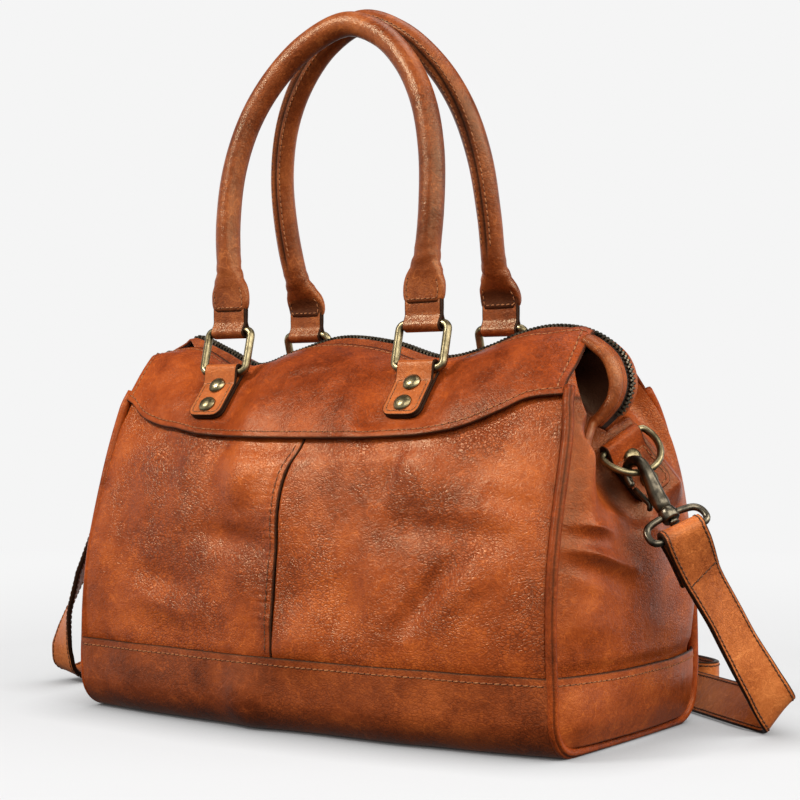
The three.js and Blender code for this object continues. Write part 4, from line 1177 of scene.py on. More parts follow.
def yoke_point(name):
    face = faces[name]
    turn = -HANDLES[name]["side"]

    def point(u, k):
        u = np.clip(u, -1, 1)
        k = np.clip(k, 0, 1)
        z = mix(seam_height(face, u), YOKE_TOP, k)
        points = face["surface"](turn * u * edge_u(face, z), z)
        to_right = smoothstep(turn * u, END_FROM, 1) * (name == "front")
        flare = RIGHT_END_FLARE * to_right * smoothstep(k, *FLARE_RISE)
        curl = RIGHT_END_CURL * to_right**3 * smoothstep(k, *CURL_RISE)
        roll = TOP_ROLL * (1 - to_right) + END_ROLL * smoothstep(-turn * u, *LEFT_ROLL)
        corner = RIGHT_CORNER_CUT * smoothstep(turn * u, CORNER_FROM, 1) * (name == "front")
        lift = RIGHT_END_LIFT * to_right - roll - corner
        return points + stack(flare, curl, lift * smoothstep(k, RIM_FROM, 1))

    return point


def add_yoke(name):
    point = yoke_point(name)
    us = with_borders(np.linspace(-1, 1, YOKE_LINES), YOKE_MARGIN)
    vs = with_borders(np.linspace(0, 1, YOKE_ROWS), YOKE_ROW_MARGIN)
    sheet = wall(point, us, vs, -LEATHER, 0, inside=YOKE_INSIDE_SHADE)
    new_piece(f"{name}_yoke_leather", sheet, "yoke_hide", f"{name}_yoke")
    along = np.linspace(-ROW_END, ROW_END, ROW_POINTS)
    for distance, from_end in ((BORDER_STITCH, False), (TOP_STITCH, True)):
        stitches(*line_on(point, along, share_at(point, along, distance, from_end), 0))
    for end in (-1, 1):
        up = np.linspace(*END_ROW, END_ROW_POINTS)
        width = faces[name]["half"](SEAM_LEVEL)
        stitches(*line_on(point, end * (1 - END_STITCH / width), up, 0))


for face_name in faces:
    add_yoke(face_name)


# Shares of a panel's height where its lapped edges come out of the tuck, where the raised lip of the middle
# seam fades in and out, and where the seam bends. The lip rises and puckers at shares of the panel's width.
TUCK_LOW = (0, 0.09)
TUCK_HIGH = (0.84, 0.92)
LIP_LOW = (0.12, 0.2)
LIP_HIGH = (0.8, 0.88)
BEND_RISE = (0.66, 0.98)
LIP_RISE = (0.93, 0.98)
PUCKER_AT, PUCKER_REACH, PUCKER_BEAT = 0.955, 0.04, 37
PANEL_ROWS, PANEL_ROW_MARGIN = 100, 0.004
PANEL_MARGIN = 0.6 / 1.4
LIP_ROW, LIP_ROW_POINTS = (0.08, 0.92), 200
LEFT_PANEL_WIDTH = 157
SEAM_WIDTH_LEVEL = 100


def panel_point(name, low, high):
    face = faces[name]
    turn = -HANDLES[name]["side"]

    def point(k, v):
        k = np.clip(k, 0, 1)
        v = np.clip(v, 0, 1)
        bend = SEAM_BEND * smoothstep(v, *BEND_RISE) ** 2
        u = mix(low + bend * (low > -1), high + bend * (high < 1), k)
        z = mix(BAND_HEIGHT - LAP, seam_height(face, u) + LAP, v)
        return face["surface"](turn * u * (edge_u(face, z) - PANEL_INSET), z)

    return point


def add_panel(node, name, low, high, lines, lip):
    painted = "right bottom top" if lip else "bottom top"
    point = panel_point(name, low, high)

    def tuck(v):
        return PANEL_TUCK * (1 - smoothstep(v, *TUCK_LOW) + smoothstep(v, *TUCK_HIGH))

    def raised(k, v):
        clear = smoothstep(v, *LIP_LOW) * (1 - smoothstep(v, *LIP_HIGH))
        waves = np.sin(v * PUCKER_WAVES) * np.sin(v * PUCKER_BEAT)
        pucker = PUCKER * waves * bell(k - PUCKER_AT, PUCKER_REACH)
        return lip * (SEAM_LIP * smoothstep(k, *LIP_RISE) + pucker) * clear

    def inner(k, v):
        return PANEL_INNER - tuck(v)

    def outer(k, v):
        return PANEL_OUTER - tuck(v) + raised(k, v)

    us = with_borders(np.linspace(0, 1, lines), PANEL_MARGIN / lines)
    vs = with_borders(np.linspace(0, 1, PANEL_ROWS), PANEL_ROW_MARGIN)
    new_piece(f"{node}_leather", wall(point, us, vs, inner, outer, painted), "hide", node)
    if lip:
        up = np.linspace(*LIP_ROW, LIP_ROW_POINTS)
        across = np.full(LIP_ROW_POINTS, 1 - BORDER_STITCH / LEFT_PANEL_WIDTH)
        stitches(*line_on(point, across, up, outer(across, up)), thread="dark_thread")


seam_u = MIDDLE_SEAM_X / faces["front"]["half"](SEAM_WIDTH_LEVEL)
seam_gap_u = GAP / faces["front"]["half"](SEAM_WIDTH_LEVEL)
PANELS = table("node name low high lines lip", [
    ["front_panel_left", "front", -1, seam_u - seam_gap_u, 110, 1],
    ["front_panel_right", "front", seam_u + seam_gap_u, 1, 116, 0],
    ["back_panel", "back", -1, 1, 190, 0],
])
for panel in PANELS:
    add_panel(**panel)

# The base band runs from the back over the floor to the front in one piece
FLOOR_SHARE = 0.2
CORNER_SHARE = 0.4
BASE_FROM = 0.02
BASE_STEPS = dict(floor=10, corner=14, wall=26)
BASE_LINES, BASE_ROW_MARGIN = 170, 0.011


def base_point(u, v):
    u = np.clip(u, -1, 1)
    v = np.clip(v, -1, 1)
    k = np.abs(v)
    z = mix(BASE_CORNER, BAND_HEIGHT, np.clip((k - CORNER_SHARE) / (1 - CORNER_SHARE), 0, 1))
    front = faces["front"]["surface"](u * edge_u(faces["front"], z), z)
    back = faces["back"]["surface"](u * edge_u(faces["back"], z), z)
    place = np.where((v < 0)[..., None], back, front)
    angle = (1 - np.clip((k - FLOOR_SHARE) / (CORNER_SHARE - FLOOR_SHARE), 0, 1)) * np.pi / 2
    x, y, height = place[..., 0], place[..., 1], place[..., 2]
    y = y - np.sign(y) * BASE_CORNER * (1 - np.cos(angle))
    return stack(x, y * np.minimum(k / FLOOR_SHARE, 1), height - BASE_CORNER * np.sin(angle))


base_half = np.concatenate([
    np.linspace(BASE_FROM, FLOOR_SHARE, BASE_STEPS["floor"], endpoint=False),
    np.linspace(FLOOR_SHARE, CORNER_SHARE, BASE_STEPS["corner"], endpoint=False),
    np.linspace(CORNER_SHARE, 1, BASE_STEPS["wall"]),
])
base_rows = with_borders(np.concatenate([-base_half[::-1], base_half]), BASE_ROW_MARGIN)
base_lines = with_borders(np.linspace(-1, 1, BASE_LINES), YOKE_MARGIN)
base_wall = wall(base_point, base_lines, base_rows, -LEATHER, 0, "bottom top")
new_piece("base_band_leather", base_wall, "band_hide", "base_band")
base_along = np.linspace(-ROW_END, ROW_END, ROW_POINTS)
stitch_share = 1 - BORDER_STITCH * (1 - CORNER_SHARE) / (BAND_HEIGHT - BASE_CORNER)
for side in (-1, 1):
    stitches(*line_on(base_point, base_along, side * stitch_share, 0))

# Gussets: built for the right end, and mirrored for the left
GUSSET_CREASES = table("a b to_a to_b reach depth", [
    [-12, 188, -4, 172, 4, 2.6],
    [-4, 172, 6, 148, 4, 2.6],
    [-34, 140, 6, 124, 5, 3.0],
    [-40, 132, 10, 116, 5, -2.4],
    [-90, 127, -38, 119, 4, -3.4],
    [-90, 121, -40, 112, 4, 2.4],
    [-90, 115, -22, 98, 4.5, -3.8],
    [-90, 108, -30, 90, 5, 2.6],
    [-84, 88, -52, 84, 5, 0.8],
    [-84, 70, -40, 66, 6, -0.8],
    [10, 128, 56, 96, 8, 1.5],
    [24, 140, 66, 110, 7, -1.4],
    [-20, 70, 50, 58, 8, -1.0],
])
GUSSET_LUMPS = lumps(3, 34, (-85, 10), (85, 150), 1.6)


def gusset_point(side, clear, low, high):
    names = ("fold", "valley", "ridge", "back_valley", "back_fold")
    columns = [column(GUSSET, "z", name) for name in names]
    places = np.array(GUSSET_PLACES, float)
    front, back = faces["front"], faces["back"]

    def folds(s, z):
        outs = np.stack([np.zeros_like(z)] + [each(z) for each in columns] + [np.zeros_like(z)])
        return hermite(places, outs, s)

    def point(s, z):
        s, z = np.broadcast_arrays(np.clip(s, -1, 1), np.clip(z, low, high))
        height = np.maximum(z, BASE_CORNER)
        dip = GUSSET_DIP * smoothstep(z, GUSSET_DIP_FROM, GUSSET_TOP)
        dip = dip * (1 - smoothstep(np.abs(s), GUSSET_DIP_FLAT, GUSSET_DIP_END))
        rounded = BASE_CORNER - clear
        drop = np.minimum(np.maximum(BASE_CORNER + GAP - z, 0), rounded)
        inset = BASE_CORNER - np.sqrt(rounded**2 - drop**2)
        y = mix(-front["edge"](height) + inset, back["edge"](height) - inset, (s + 1) / 2)
        x = front["half"](height) + PIPING_OUT - side * top_shift(z) + folds(s, z)
        x = x - dented(GUSSET_CREASES, GUSSET_LUMPS, y, z) * (1 - np.abs(s) ** GUSSET_EDGE_POWER)
        return seated(stack(x, y, z - dip), side_frame, SIDE_TAB_LENGTH, SIDE_TAB_SEAT)

    return point


PIPING_ROWS = np.array([PIPING_TOP, 188, 178, 166, 152, 136, 118, 100, 82, 62, 44, 33, BASE_CORNER], float)
GUSSET_BAND_FROM = 5.5
PIPING_GROOVE = np.pi / 4
PIPING_GROOVE_HALF = 0.22
PIPING_FULL = 1.3
PIPING_LOWEST = 0.1
PIPING_GROOVED = 0.85
# Painted shade in the piping's groove
PIPING_GROOVE_SHADE = 0.6
PIPING_CORNER_STEPS = 5
PIPING_STEP = 3.2
PIPING_SIDES = 24


def piping(side):
    legs = {}
    for name, sign in (("front", -1), ("back", 1)):
        face = faces[name]
        x = face["half"](PIPING_ROWS) + PIPING_OUT - side * top_shift(PIPING_ROWS)
        leg = stack(x, sign * (face["edge"](PIPING_ROWS) - PIPING_RADIUS), PIPING_ROWS)
        angle = np.linspace(0, 1, PIPING_CORNER_STEPS + 1)[1:] * np.pi / 2
        radius = BASE_CORNER - PIPING_RADIUS
        y = sign * (face["edge"](BASE_CORNER) - BASE_CORNER + radius * np.cos(angle))
        low = BASE_CORNER - radius * np.sin(angle) + GAP
        corner = stack(face["half"](BASE_CORNER) + PIPING_OUT, y, low)
        legs[name] = np.vstack([leg, corner])
    path = spline(np.vstack([legs["front"], legs["back"][::-1]]), PIPING_STEP)
    _, out, across = frames(path, vec(1, 0, 0))
    angle = round_angles(PIPING_SIDES)
    groove = bell(turned_angle(angle + np.sign(across[0, 1]) * PIPING_GROOVE), PIPING_GROOVE_HALF)
    radius = PIPING_RADIUS * (PIPING_FULL - (PIPING_FULL - PIPING_GROOVED) * groove)
    rings = (path[:, None] + out[:, None] * (radius * np.cos(angle))[None, :, None]
             + across[:, None] * (radius * np.sin(angle))[None, :, None])
    rings[..., 2] = np.maximum(rings[..., 2], PIPING_LOWEST)
    # The groove is painted dark as shade
    return loft(rings, np.broadcast_to(PIPING_GROOVE_SHADE * groove, rings.shape[:2]))


# Spots of painted shade on a gusset, in the valley below the side tab and round the tab: middle and reach
# in y and z, and how dark
SHADE_SPOTS = table("y z reach_y reach_z dark", [
    [-16, 142, 12, 17, 0.92],
    [-4, 158, 24, 24, 0.5],
])
# Where painted shade lies deep inside the top of the gusset, and the dark seam across its front fold
DEEP_X, DEEP_Z = (142, 158), (168, 186)
DEEP_FRONT, DEEP_BACK, DEEP_SHADE = (-0.8, -0.6), (0.8, 0.92), 0.97
FOLD_SEAM_Z, FOLD_SEAM_HALF, FOLD_SEAM_TO, FOLD_SEAM_DARK = 191, 1.3, (-0.86, -0.8), 0.85


def gusset_painted_shade(point):
    """Painted shade deep between the folds, in the valley below the side tab and round it, and the dark
    seam across the front fold.
    """

    def painted_shade(s, z):
        place = point(s, z)
        x, y = place[..., 0], place[..., 1]
        deep = (1 - smoothstep(x, *DEEP_X)) * smoothstep(z, *DEEP_Z)
        deep = deep * smoothstep(s, *DEEP_FRONT) * (1 - smoothstep(s, *DEEP_BACK))
        seam = bell(z - FOLD_SEAM_Z, FOLD_SEAM_HALF) * (1 - smoothstep(s, *FOLD_SEAM_TO))
        dark = np.maximum(DEEP_SHADE * deep, FOLD_SEAM_DARK * seam)
        for row in SHADE_SPOTS:
            spot = bell(y - row["y"], row["reach_y"]) * bell(z - row["z"], row["reach_z"])
            dark = np.maximum(dark, row["dark"] * spot)
        return dark

    return painted_shade


GUSSET_LINES, GUSSET_MARGIN = 110, 0.007
GUSSET_ROWS, GUSSET_ROW_MARGIN = 110, 0.6
GUSSET_BAND_ROWS, GUSSET_BAND_MARGIN = 30, 0.5
GUSSET_ROW_END, GUSSET_ROW_POINTS = 0.96, 300


def at_end(shape, side):
    """The right end's shape, or its mirror image for the left end."""
    return mirrored(shape) if side < 0 else shape


def add_gusset(name, side):
    high = gusset_point(side, GUSSET_CLEAR, BAND_HEIGHT - LAP, GUSSET_TOP)
    low = gusset_point(side, GUSSET_BAND_CLEAR, GUSSET_BAND_FROM, BAND_HEIGHT)

    def tuck(z):
        return PANEL_TUCK * (1 - smoothstep(z, BAND_HEIGHT, BAND_HEIGHT + LAP))

    def inner(s, z):
        return PANEL_INNER - tuck(z)

    def outer(s, z):
        return PANEL_OUTER - tuck(z)

    us = with_borders(np.linspace(-1, 1, GUSSET_LINES), GUSSET_MARGIN)
    rows = with_borders(np.linspace(BAND_HEIGHT - LAP, GUSSET_TOP, GUSSET_ROWS), GUSSET_ROW_MARGIN)
    # The gusset's upper sheet carries painted shade in its folds and round the side tab
    upper = wall(high, us, rows, inner, outer, "top", gusset_painted_shade(high))
    rows = with_borders(np.linspace(GUSSET_BAND_FROM, BAND_HEIGHT, GUSSET_BAND_ROWS), GUSSET_BAND_MARGIN)
    lower = wall(low, us, rows, -LEATHER, 0, "top")
    for node, shape, finish in (
        (f"gusset_{name}", upper, "gusset_hide"),
        (f"gusset_band_{name}", lower, "side_band_hide"),
        (f"piping_{name}", piping(side), "yoke_hide"),
    ):
        new_piece(f"{node}_leather", at_end(shape, side), finish, node)
    along = np.linspace(-GUSSET_ROW_END, GUSSET_ROW_END, GUSSET_ROW_POINTS)
    line, normals = line_on(low, along, BAND_HEIGHT - BORDER_STITCH, 0)
    flip = vec(side, 1, 1)
    stitches(line * flip, normals * flip)


for end_name, side in (("right", 1), ("left", -1)):
    add_gusset(end_name, side)


# Zip: its line runs from the curled left end over the top to the curled right end
def zip_path():
    right = [vec(row["x"], ZIP_Y + row["y"], row["z"]) for row in ZIP_END]
    left = [vec(LEFT_CURL_IN - row["x"], ZIP_Y + row["y"], row["z"]) for row in ZIP_END]
    ridge = [vec(row["x"], ZIP_Y, row["z"]) for row in ZIP_RIDGE]
    return spline(left[::-1] + ridge + right, ZIP_STEP) + (0, 0, ZIP_LIFT)


ZIP_STEP = 2.0
zip_line = zip_path()
zip_forward, zip_side, zip_up = frames(zip_line, vec(0, 1, 0))
ZIP_FABRIC_HALF = 4.2
ZIP_FABRIC_TOP = -0.2
ZIP_FABRIC_EDGE = 0.4
BINDING_GAP = 0.1
BINDING_TOP = 0.3
BINDING_EDGE = 0.5
BINDING_NARROWS = (124, 142)
BINDING_REACH = 12.5
BINDING_DROP = 6.0
TEETH_BASE = 0.1
TOOTH_PITCH = 2.5
TOOTH_SIZE = (1.3, 3.0, 2.0)
TOOTH_SIDE = 1.1
TOOTH_RINGS = ((0, 1), (0.65, 1), (1, 0.6))
TEETH_INSET = 12


def zip_fabric():
    low, high = -ZIP_TAPE_THICKNESS, ZIP_FABRIC_TOP
    return loft(band_rings(zip_line, zip_side, zip_up, ZIP_FABRIC_HALF, low, high, ZIP_FABRIC_EDGE)[0])


def zip_binding(sign):
    """Leather strip from the zip's fabric down to the edge of the yoke, narrower on the curled ends."""
    middle_part = 1 - smoothstep(np.abs(zip_line[:, 0]), *BINDING_NARROWS)[:, None]
    inner = ZIP_FABRIC_HALF + BINDING_GAP
    outer = mix(ZIP_TAPE_WIDTH / 2, BINDING_REACH, middle_part)
    drop = BINDING_DROP * middle_part
    near = zip_line + zip_side * sign * inner
    far = zip_line + zip_side * sign * outer - zip_up * drop
    across = unit(far - near)
    up = np.cross(zip_forward, across) * sign
    half = np.linalg.norm(far - near, axis=1) / 2
    low, high = -ZIP_TAPE_THICKNESS, BINDING_TOP
    return loft(band_rings((near + far) / 2, across, up, half, low, high, BINDING_EDGE)[0])


new_piece("zip_tape_fabric", zip_fabric(), "tape", "zip_tape")
for strip_name, sign in (("front", -1), ("back", 1)):
    new_piece(f"zip_binding_{strip_name}", zip_binding(sign), "band_hide", "zip_tape")


def tooth():
    """Small block with its top edges cut back."""
    corners = np.array([[-1, -1], [1, -1], [1, 1], [-1, 1]], float)
    long, wide, tall = TOOTH_SIZE
    rings = []
    for height, size in TOOTH_RINGS:
        flat = corners * (long / 2 * size, wide / 2 * size)
        rings.append(np.column_stack([flat, np.full(4, height * tall)]))
    return loft(np.array(rings))


def zip_teeth():
    along = lengths_along(zip_line)
    at = np.arange(TEETH_INSET, along[-1] - TEETH_INSET, TOOTH_PITCH / 2)
    lines = (zip_line, zip_forward, zip_side, zip_up)
    places, ways, sides, ups = (interpolated(line, along, at) for line in lines)
    sign = np.where(np.arange(len(at)) % 2, 1, -1)[:, None]
    places = places + sides * TOOTH_SIDE * sign + ups * TEETH_BASE
    template, template_faces, _ = tooth()
    return repeated([(copies(template, places, ways, sides, ups), template_faces, len(at))])


new_piece("zip_teeth_row", zip_teeth(), "bronze", "zip_teeth", smooth=False)

# The zip's solids have 40 equal steps, and the slider lies on the fifth
CAD_ZIP_STEP = lengths_along(zip_line)[-1] / 40
SLIDER_AT = 4 * CAD_ZIP_STEP
SLIDER_HALF = 5
SLIDER_ROUND = 0.8
SLIDER_BASE = 2.7
SLIDER_TOP = 5.7
SLIDER_EDGE = 1.2


def zip_slider():
    along = lengths_along(zip_line)
    near = (along > SLIDER_AT) & (along < SLIDER_AT + CAD_ZIP_STEP)
    middle = zip_line[near]
    half = SLIDER_HALF * np.sqrt(1 - np.linspace(-SLIDER_ROUND, SLIDER_ROUND, len(middle)) ** 2)
    sides, ups = zip_side[near], zip_up[near]
    return loft(band_rings(middle, sides, ups, half, SLIDER_BASE, SLIDER_TOP, SLIDER_EDGE)[0])


new_piece("zip_slider_body", zip_slider(), "bronze", "zip_slider")

# Leather facings beside the zip, on the curled ends that stand clear of the yokes
FACING_ROLL = 3.1
FACING_TAIL = np.array([[163, -38.5, 169.5], [165, -43.5, 165], [166, -48, 160], [166.5, -51, 155]])
FACING_TAPER = 3 * CAD_ZIP_STEP
FACING_TIP = 0.55
FACING_SIDES = 28
FACING_SQUARENESS = 0.8
TAIL_NARROWS = (0.9, 0.45)
HIDDEN_ROLL = 1.3
FACINGS = table("node end face width drop tip_cut roll", [
    ["zip_facing_right_front", 1, -1, FACING_WIDTH, FACING_DROP, 0, FACING_ROLL],
    ["zip_facing_right_back", 1, 1, HIDDEN_WIDTH, HIDDEN_DROP, 2, HIDDEN_ROLL],
    ["zip_facing_left_front", -1, -1, HIDDEN_WIDTH, HIDDEN_DROP, 2, HIDDEN_ROLL],
    ["zip_facing_left_back", -1, 1, HIDDEN_WIDTH, HIDDEN_DROP, 2, HIDDEN_ROLL],
])


def facing(end, face, width, drop, tip_cut, roll):
    """Rolled strip beside the zip; the one without a cut tip runs on down the gusset's fold."""
    along = lengths_along(zip_line)
    from_tip = along[-1] - along if end > 0 else along
    cut = tip_cut * CAD_ZIP_STEP
    clear = (end * (zip_line[:, 0] + TOP_SHIFT) > FACING_FROM) & (from_tip >= cut)
    grown = mix(FACING_TIP, 1, smoothstep(from_tip[clear] - cut, 0, FACING_TAPER))
    inner = ZIP_TAPE_WIDTH / 2 + GAP
    half = width * grown / 2
    slope = unit(np.stack([2 * half, np.full(len(half), -float(drop))], 1))
    side = zip_side[clear] * face
    up = zip_up[clear]
    across = side * slope[:, :1] + up * slope[:, 1:]
    out = up * slope[:, :1] - side * slope[:, 1:]
    middle = zip_line[clear] + side * (inner + half)[:, None] - up * (LEATHER + drop) / 2
    long = np.hypot(half, drop / 2)
    if not tip_cut:
        more = len(FACING_TAIL)
        middle = np.vstack([middle, FACING_TAIL])
        across = np.vstack([across, np.repeat(across[-1:], more, 0)])
        out = np.vstack([out, np.repeat(out[-1:], more, 0)])
        long = np.concatenate([long, long[-1] * np.linspace(*TAIL_NARROWS, more)])
    angle = round_angles(FACING_SIDES)
    round_x = squared(np.cos(angle), FACING_SQUARENESS)
    rings = (middle[:, None] + across[:, None] * (long[:, None] * round_x)[..., None]
             + out[:, None] * (roll * np.sin(angle))[None, :, None])
    return loft(rings)


for row in FACINGS:
    node = row.pop("node")
    new_piece(f"{node}_roll", facing(**row), "handle_hide", node)

# Folded tabs: one strip of leather round the bar, its two layers sewn and riveted together
TAB_LAYER = TAB_THICKNESS / 2 - 0.05
TAB_STITCH = 2.6
LOOP_MIDDLE = (LOOP_HOLE + LOOP_OUTER) / 2
LOOP_TURN, LOOP_POINTS = (0.25, math.pi - 0.3), 11
SHORT_SHARES = (1, 0.6, 0.3)
LONG_TAB = 20
NECK_UNDER, NECK_BLEND, NECK_DIP, NECK_RISE = 0.02, 0.45, 0.9, 0.12
STRIP_STEP = 0.9
STRIP_EDGE = 0.6
STRIP_END = 0.7
TAB_ROW_TOP = -8.6
TAB_PITCH, TAB_STITCH_SIZE = 3.3, 0.95


def folded_strip(length, width, low, corner, layer):
    """Strip in the fitting's frame: up its lower layer, round the bar and down its upper layer."""
    under = low + layer / 2
    over = low + TAB_THICKNESS - layer / 2
    angles = np.linspace(*LOOP_TURN, LOOP_POINTS)
    turn = [(LOOP_MIDDLE * math.sin(a), -LOOP_MIDDLE * math.cos(a)) for a in angles]
    start = [(-share * length, under) for share in SHORT_SHARES]
    finish = [(-share * length, over) for share in SHORT_SHARES[::-1]]
    if length > LONG_TAB:
        neck_under = under - NECK_UNDER * (under + LOOP_MIDDLE)
        neck_over = mix(over, LOOP_MIDDLE, NECK_BLEND) - NECK_DIP
        start = [(-length, under), (-LONG_TAB, under), (-9, under), (-4.6, neck_under)]
        neck = [(-5.6, neck_over), (-8.4, over + NECK_RISE)]
        finish = neck + [(-12, over), (-LONG_TAB, over), (-length, over)]
    flat = np.array(start + turn + finish)
    path = spline(np.column_stack([np.zeros(len(flat)), flat[:, 1], flat[:, 0]]), STRIP_STEP)
    along = lengths_along(path)
    to_end = np.minimum(along, along[-1] - along)
    inside = np.clip(corner - to_end, 0, corner)
    half = width / 2 - (corner - np.sqrt(corner**2 - inside**2))
    _, side, up = frames(path, vec(1, 0, 0))
    rings, row = band_rings(path, side, up, half, -layer / 2, layer / 2, STRIP_EDGE)
    ends = (to_end < STRIP_END)[:, None]
    return loft(rings, np.maximum(row[None, :], ends.astype(float)))


def in_frame(shape, frame):
    return placed(shape, frame["place"], frame["x"], frame["y"], frame["z"])


def moved(points, frame):
    return points @ np.array([frame["x"], frame["y"], frame["z"]])


def tab_stitches(frame, length, width, mirror=1):
    half = width / 2 - TAB_STITCH
    bottom = -length + TAB_STITCH
    corner = TAB_CORNER - TAB_STITCH
    turn = np.linspace(0, np.pi / 2, 8)
    sides = half - corner + corner * np.cos(turn)
    right = np.column_stack([sides, bottom + corner - corner * np.sin(turn)])
    left = right[::-1] * (-1, 1)
    across = np.array([[half, TAB_ROW_TOP], [-half, TAB_ROW_TOP]])
    outline = np.vstack([across[0], right, left, across[1]])
    for flat in (outline, across):
        dense = resampled(flat, STITCH_LOOK)
        height = np.full(len(dense), TAB_THICKNESS - LOOP_OUTER)
        local = np.column_stack([dense[:, 0], height, dense[:, 1]])
        normals = np.broadcast_to(vec(0, 1, 0), local.shape)
        flip = vec(mirror, 1, 1)
        line = (frame["place"] + moved(local, frame)) * flip
        stitches(line, moved(normals, frame) * flip, TAB_PITCH, TAB_STITCH_SIZE)


def lathe(profile, sides):
    """Shape turned round the y axis; the profile gives radius and height."""
    angle = round_angles(sides)
    radius, height = np.array(profile, float).T[..., None]
    return loft(stack(radius * np.cos(angle), height, radius * np.sin(angle)))


RIVET_DOME = 1.15 * RIVET_RADIUS
FITTING_SIDES = 28
# Outline of a rivet's dome, in shares of its radius and height
DOME_OUTLINE = (
    (0.05, 0), (1, 0), (1.02, 0.12), (0.98, 0.3), (0.86, 0.58), (0.66, 0.82), (0.4, 0.95), (0.04, 1))


def rivet(down):
    outline = [(r * RIVET_DOME, h * RIVET_HEIGHT) for r, h in DOME_OUTLINE]
    points, shape_faces, shade = lathe(outline, FITTING_SIDES)
    return points + (0, TAB_THICKNESS - LOOP_OUTER + GAP / 2, -down), shape_faces, shade


RING_PITCH = RING_HEIGHT + 2 * RING_WIRE


def rounded_ring():
    half = RING_WIDTH / 2 + RING_WIRE
    path = []
    for x, top, start in ((1, 1, 0), (-1, 1, 1), (-1, 0, 2), (1, 0, 3)):
        for turn in np.linspace(0, 1, 7):
            angle = (start + turn) * np.pi / 2
            centre = vec(x * (half - RING_CORNER), 0, RING_PITCH - RING_CORNER if top else RING_CORNER)
            path.append(centre + vec(math.cos(angle), 0, math.sin(angle)) * RING_CORNER)
    return rod(np.array(path), RING_WIRE, vec(0, 1, 0), 16, True)


LOOP_INTO_EAR = 15.5
ear_wide = column(EAR_SHAPE, "at", "wide")
ear_thick = column(EAR_SHAPE, "at", "thick")
HANDLE_SIDES = 40
SEAM_HALF = 0.16
EAR_SQUARENESS = 0.45
SEAM_DEPTH = 1.1
PINCH_RISE = (0.05, 0.35)
HANDLE_STEP = 2.2
# Distances from a handle's end: its rounded corner, where it turns round, where it is rolled and sewn, and
# the creases between
EAR_CORNER, EAR_CORNER_CUT = 3.0, 1.6
EAR_TURNS_ROUND = (10, 28)
ROLLED_FROM = (26, 44)
ROLL_SEWN_FROM = 40
EAR_CREASE_AT, EAR_CREASE_REACH, EAR_CREASE, EAR_CREASE_WAVES = 24, 7, 0.05, 0.8
UNEVEN, UNEVEN_LENGTH = 0.02, 23.0
# Dark cap on the inner side of the ear, and its dark end
CAP_REACH, CAP_SLANT, CAP_FADE, CAP_DARK, CAP_FROM = 4, 11, 2.5, 0.75, -0.1
EAR_END, EAR_END_DARK = 0.5, 0.9
ROLL_STITCH_TURN, ROLL_PITCH = 0.42, 3.6
EAR_STITCH_INSET = 3.2
EAR_ACROSS = 12


def handle_line(handle, base):
    share = values_of(HANDLE_ARCH, "share")
    span = values_of(HANDLE_ARCH, "span")
    above = np.maximum((share - EAR_SHARE) / (1 - EAR_SHARE), 0)
    x = handle["half"] * (1 + span) - handle["pinch"] * smoothstep(share, *PINCH_RISE)
    y = mix(base[1], handle["top_y"], above ** handle["lean_power"])
    z = mix(base[2], handle["top_z"], share)
    left = np.column_stack([handle["x"] - x, y, z])
    right = np.column_stack([handle["x"] + x, y, z])[::-1]
    top = vec(handle["x"], handle["top_y"], handle["top_z"])[None]
    left[0, 2] += EAR_LIFT
    right[-1, 2] += EAR_LIFT
    return spline(np.vstack([left, top, right]), HANDLE_STEP)


def add_handle(name, handle, base):
    path = handle_line(handle, base)
    along = lengths_along(path)
    from_end = np.minimum(along, along[-1] - along)
    _, side, up = frames(path, vec(0, handle["side"], 0))
    thick = ear_thick(from_end)
    wide = ear_wide(from_end)
    corner = np.clip(1 - from_end / EAR_CORNER, 0, 1)
    wide = wide - EAR_CORNER_CUT * (1 - np.sqrt(1 - corner**2))
    angle = round_angles(HANDLE_SIDES)
    rolled = smoothstep(from_end, *ROLLED_FROM)[:, None]
    groove = rolled * bell(turned_angle(angle - np.pi)[None, :], SEAM_HALF)
    depth = 1 - groove * SEAM_DEPTH / HANDLE_RADIUS
    creases = EAR_CREASE * np.sin(from_end[:, None] * EAR_CREASE_WAVES + 2 * np.sin(angle))
    creases = creases * bell(from_end - EAR_CREASE_AT, EAR_CREASE_REACH)[:, None]
    pinched = 1 + UNEVEN * np.sin(along / UNEVEN_LENGTH)[:, None] * rolled + creases
    power = mix(EAR_SQUARENESS, 1, smoothstep(from_end, *EAR_TURNS_ROUND))[:, None]
    out = thick[:, None] * squared(np.cos(angle), power) * depth * pinched
    across = wide[:, None] * squared(np.sin(angle), power) * depth * pinched
    rings = path[:, None] + (side[:, None] * out[..., None] + up[:, None] * across[..., None])
    inside_cap = CAP_REACH - CAP_SLANT * np.cos(angle)[None, :] - from_end[:, None]
    cap = CAP_DARK * smoothstep(inside_cap, 0, CAP_FADE) * (np.cos(angle) < CAP_FROM)
    rim = np.where(from_end < EAR_END, EAR_END_DARK, 0)[:, None]
    dark = np.maximum(np.maximum(groove, cap), rim)
    node = f"handle_{name}"
    new_piece(f"{node}_leather", loft(rings, dark), "handle_hide", node)
    body = from_end > ROLL_SEWN_FROM
    for offset in (-ROLL_STITCH_TURN, ROLL_STITCH_TURN):
        turn = np.pi + offset
        out = side * math.cos(turn) + up * math.sin(turn)
        stitches((path + out * HANDLE_RADIUS)[body], out[body], ROLL_PITCH)
    ear = from_end < EAR_SEWN
    for half in (along < along[-1] / 2, along > along[-1] / 2):
        rows = np.flatnonzero(ear & half)
        if along[rows[0]] > EAR_SEWN:
            rows = rows[::-1]
        for face in (1, -1):
            ear_stitches(path[rows], side[rows], up[rows], thick[rows], wide[rows], face)


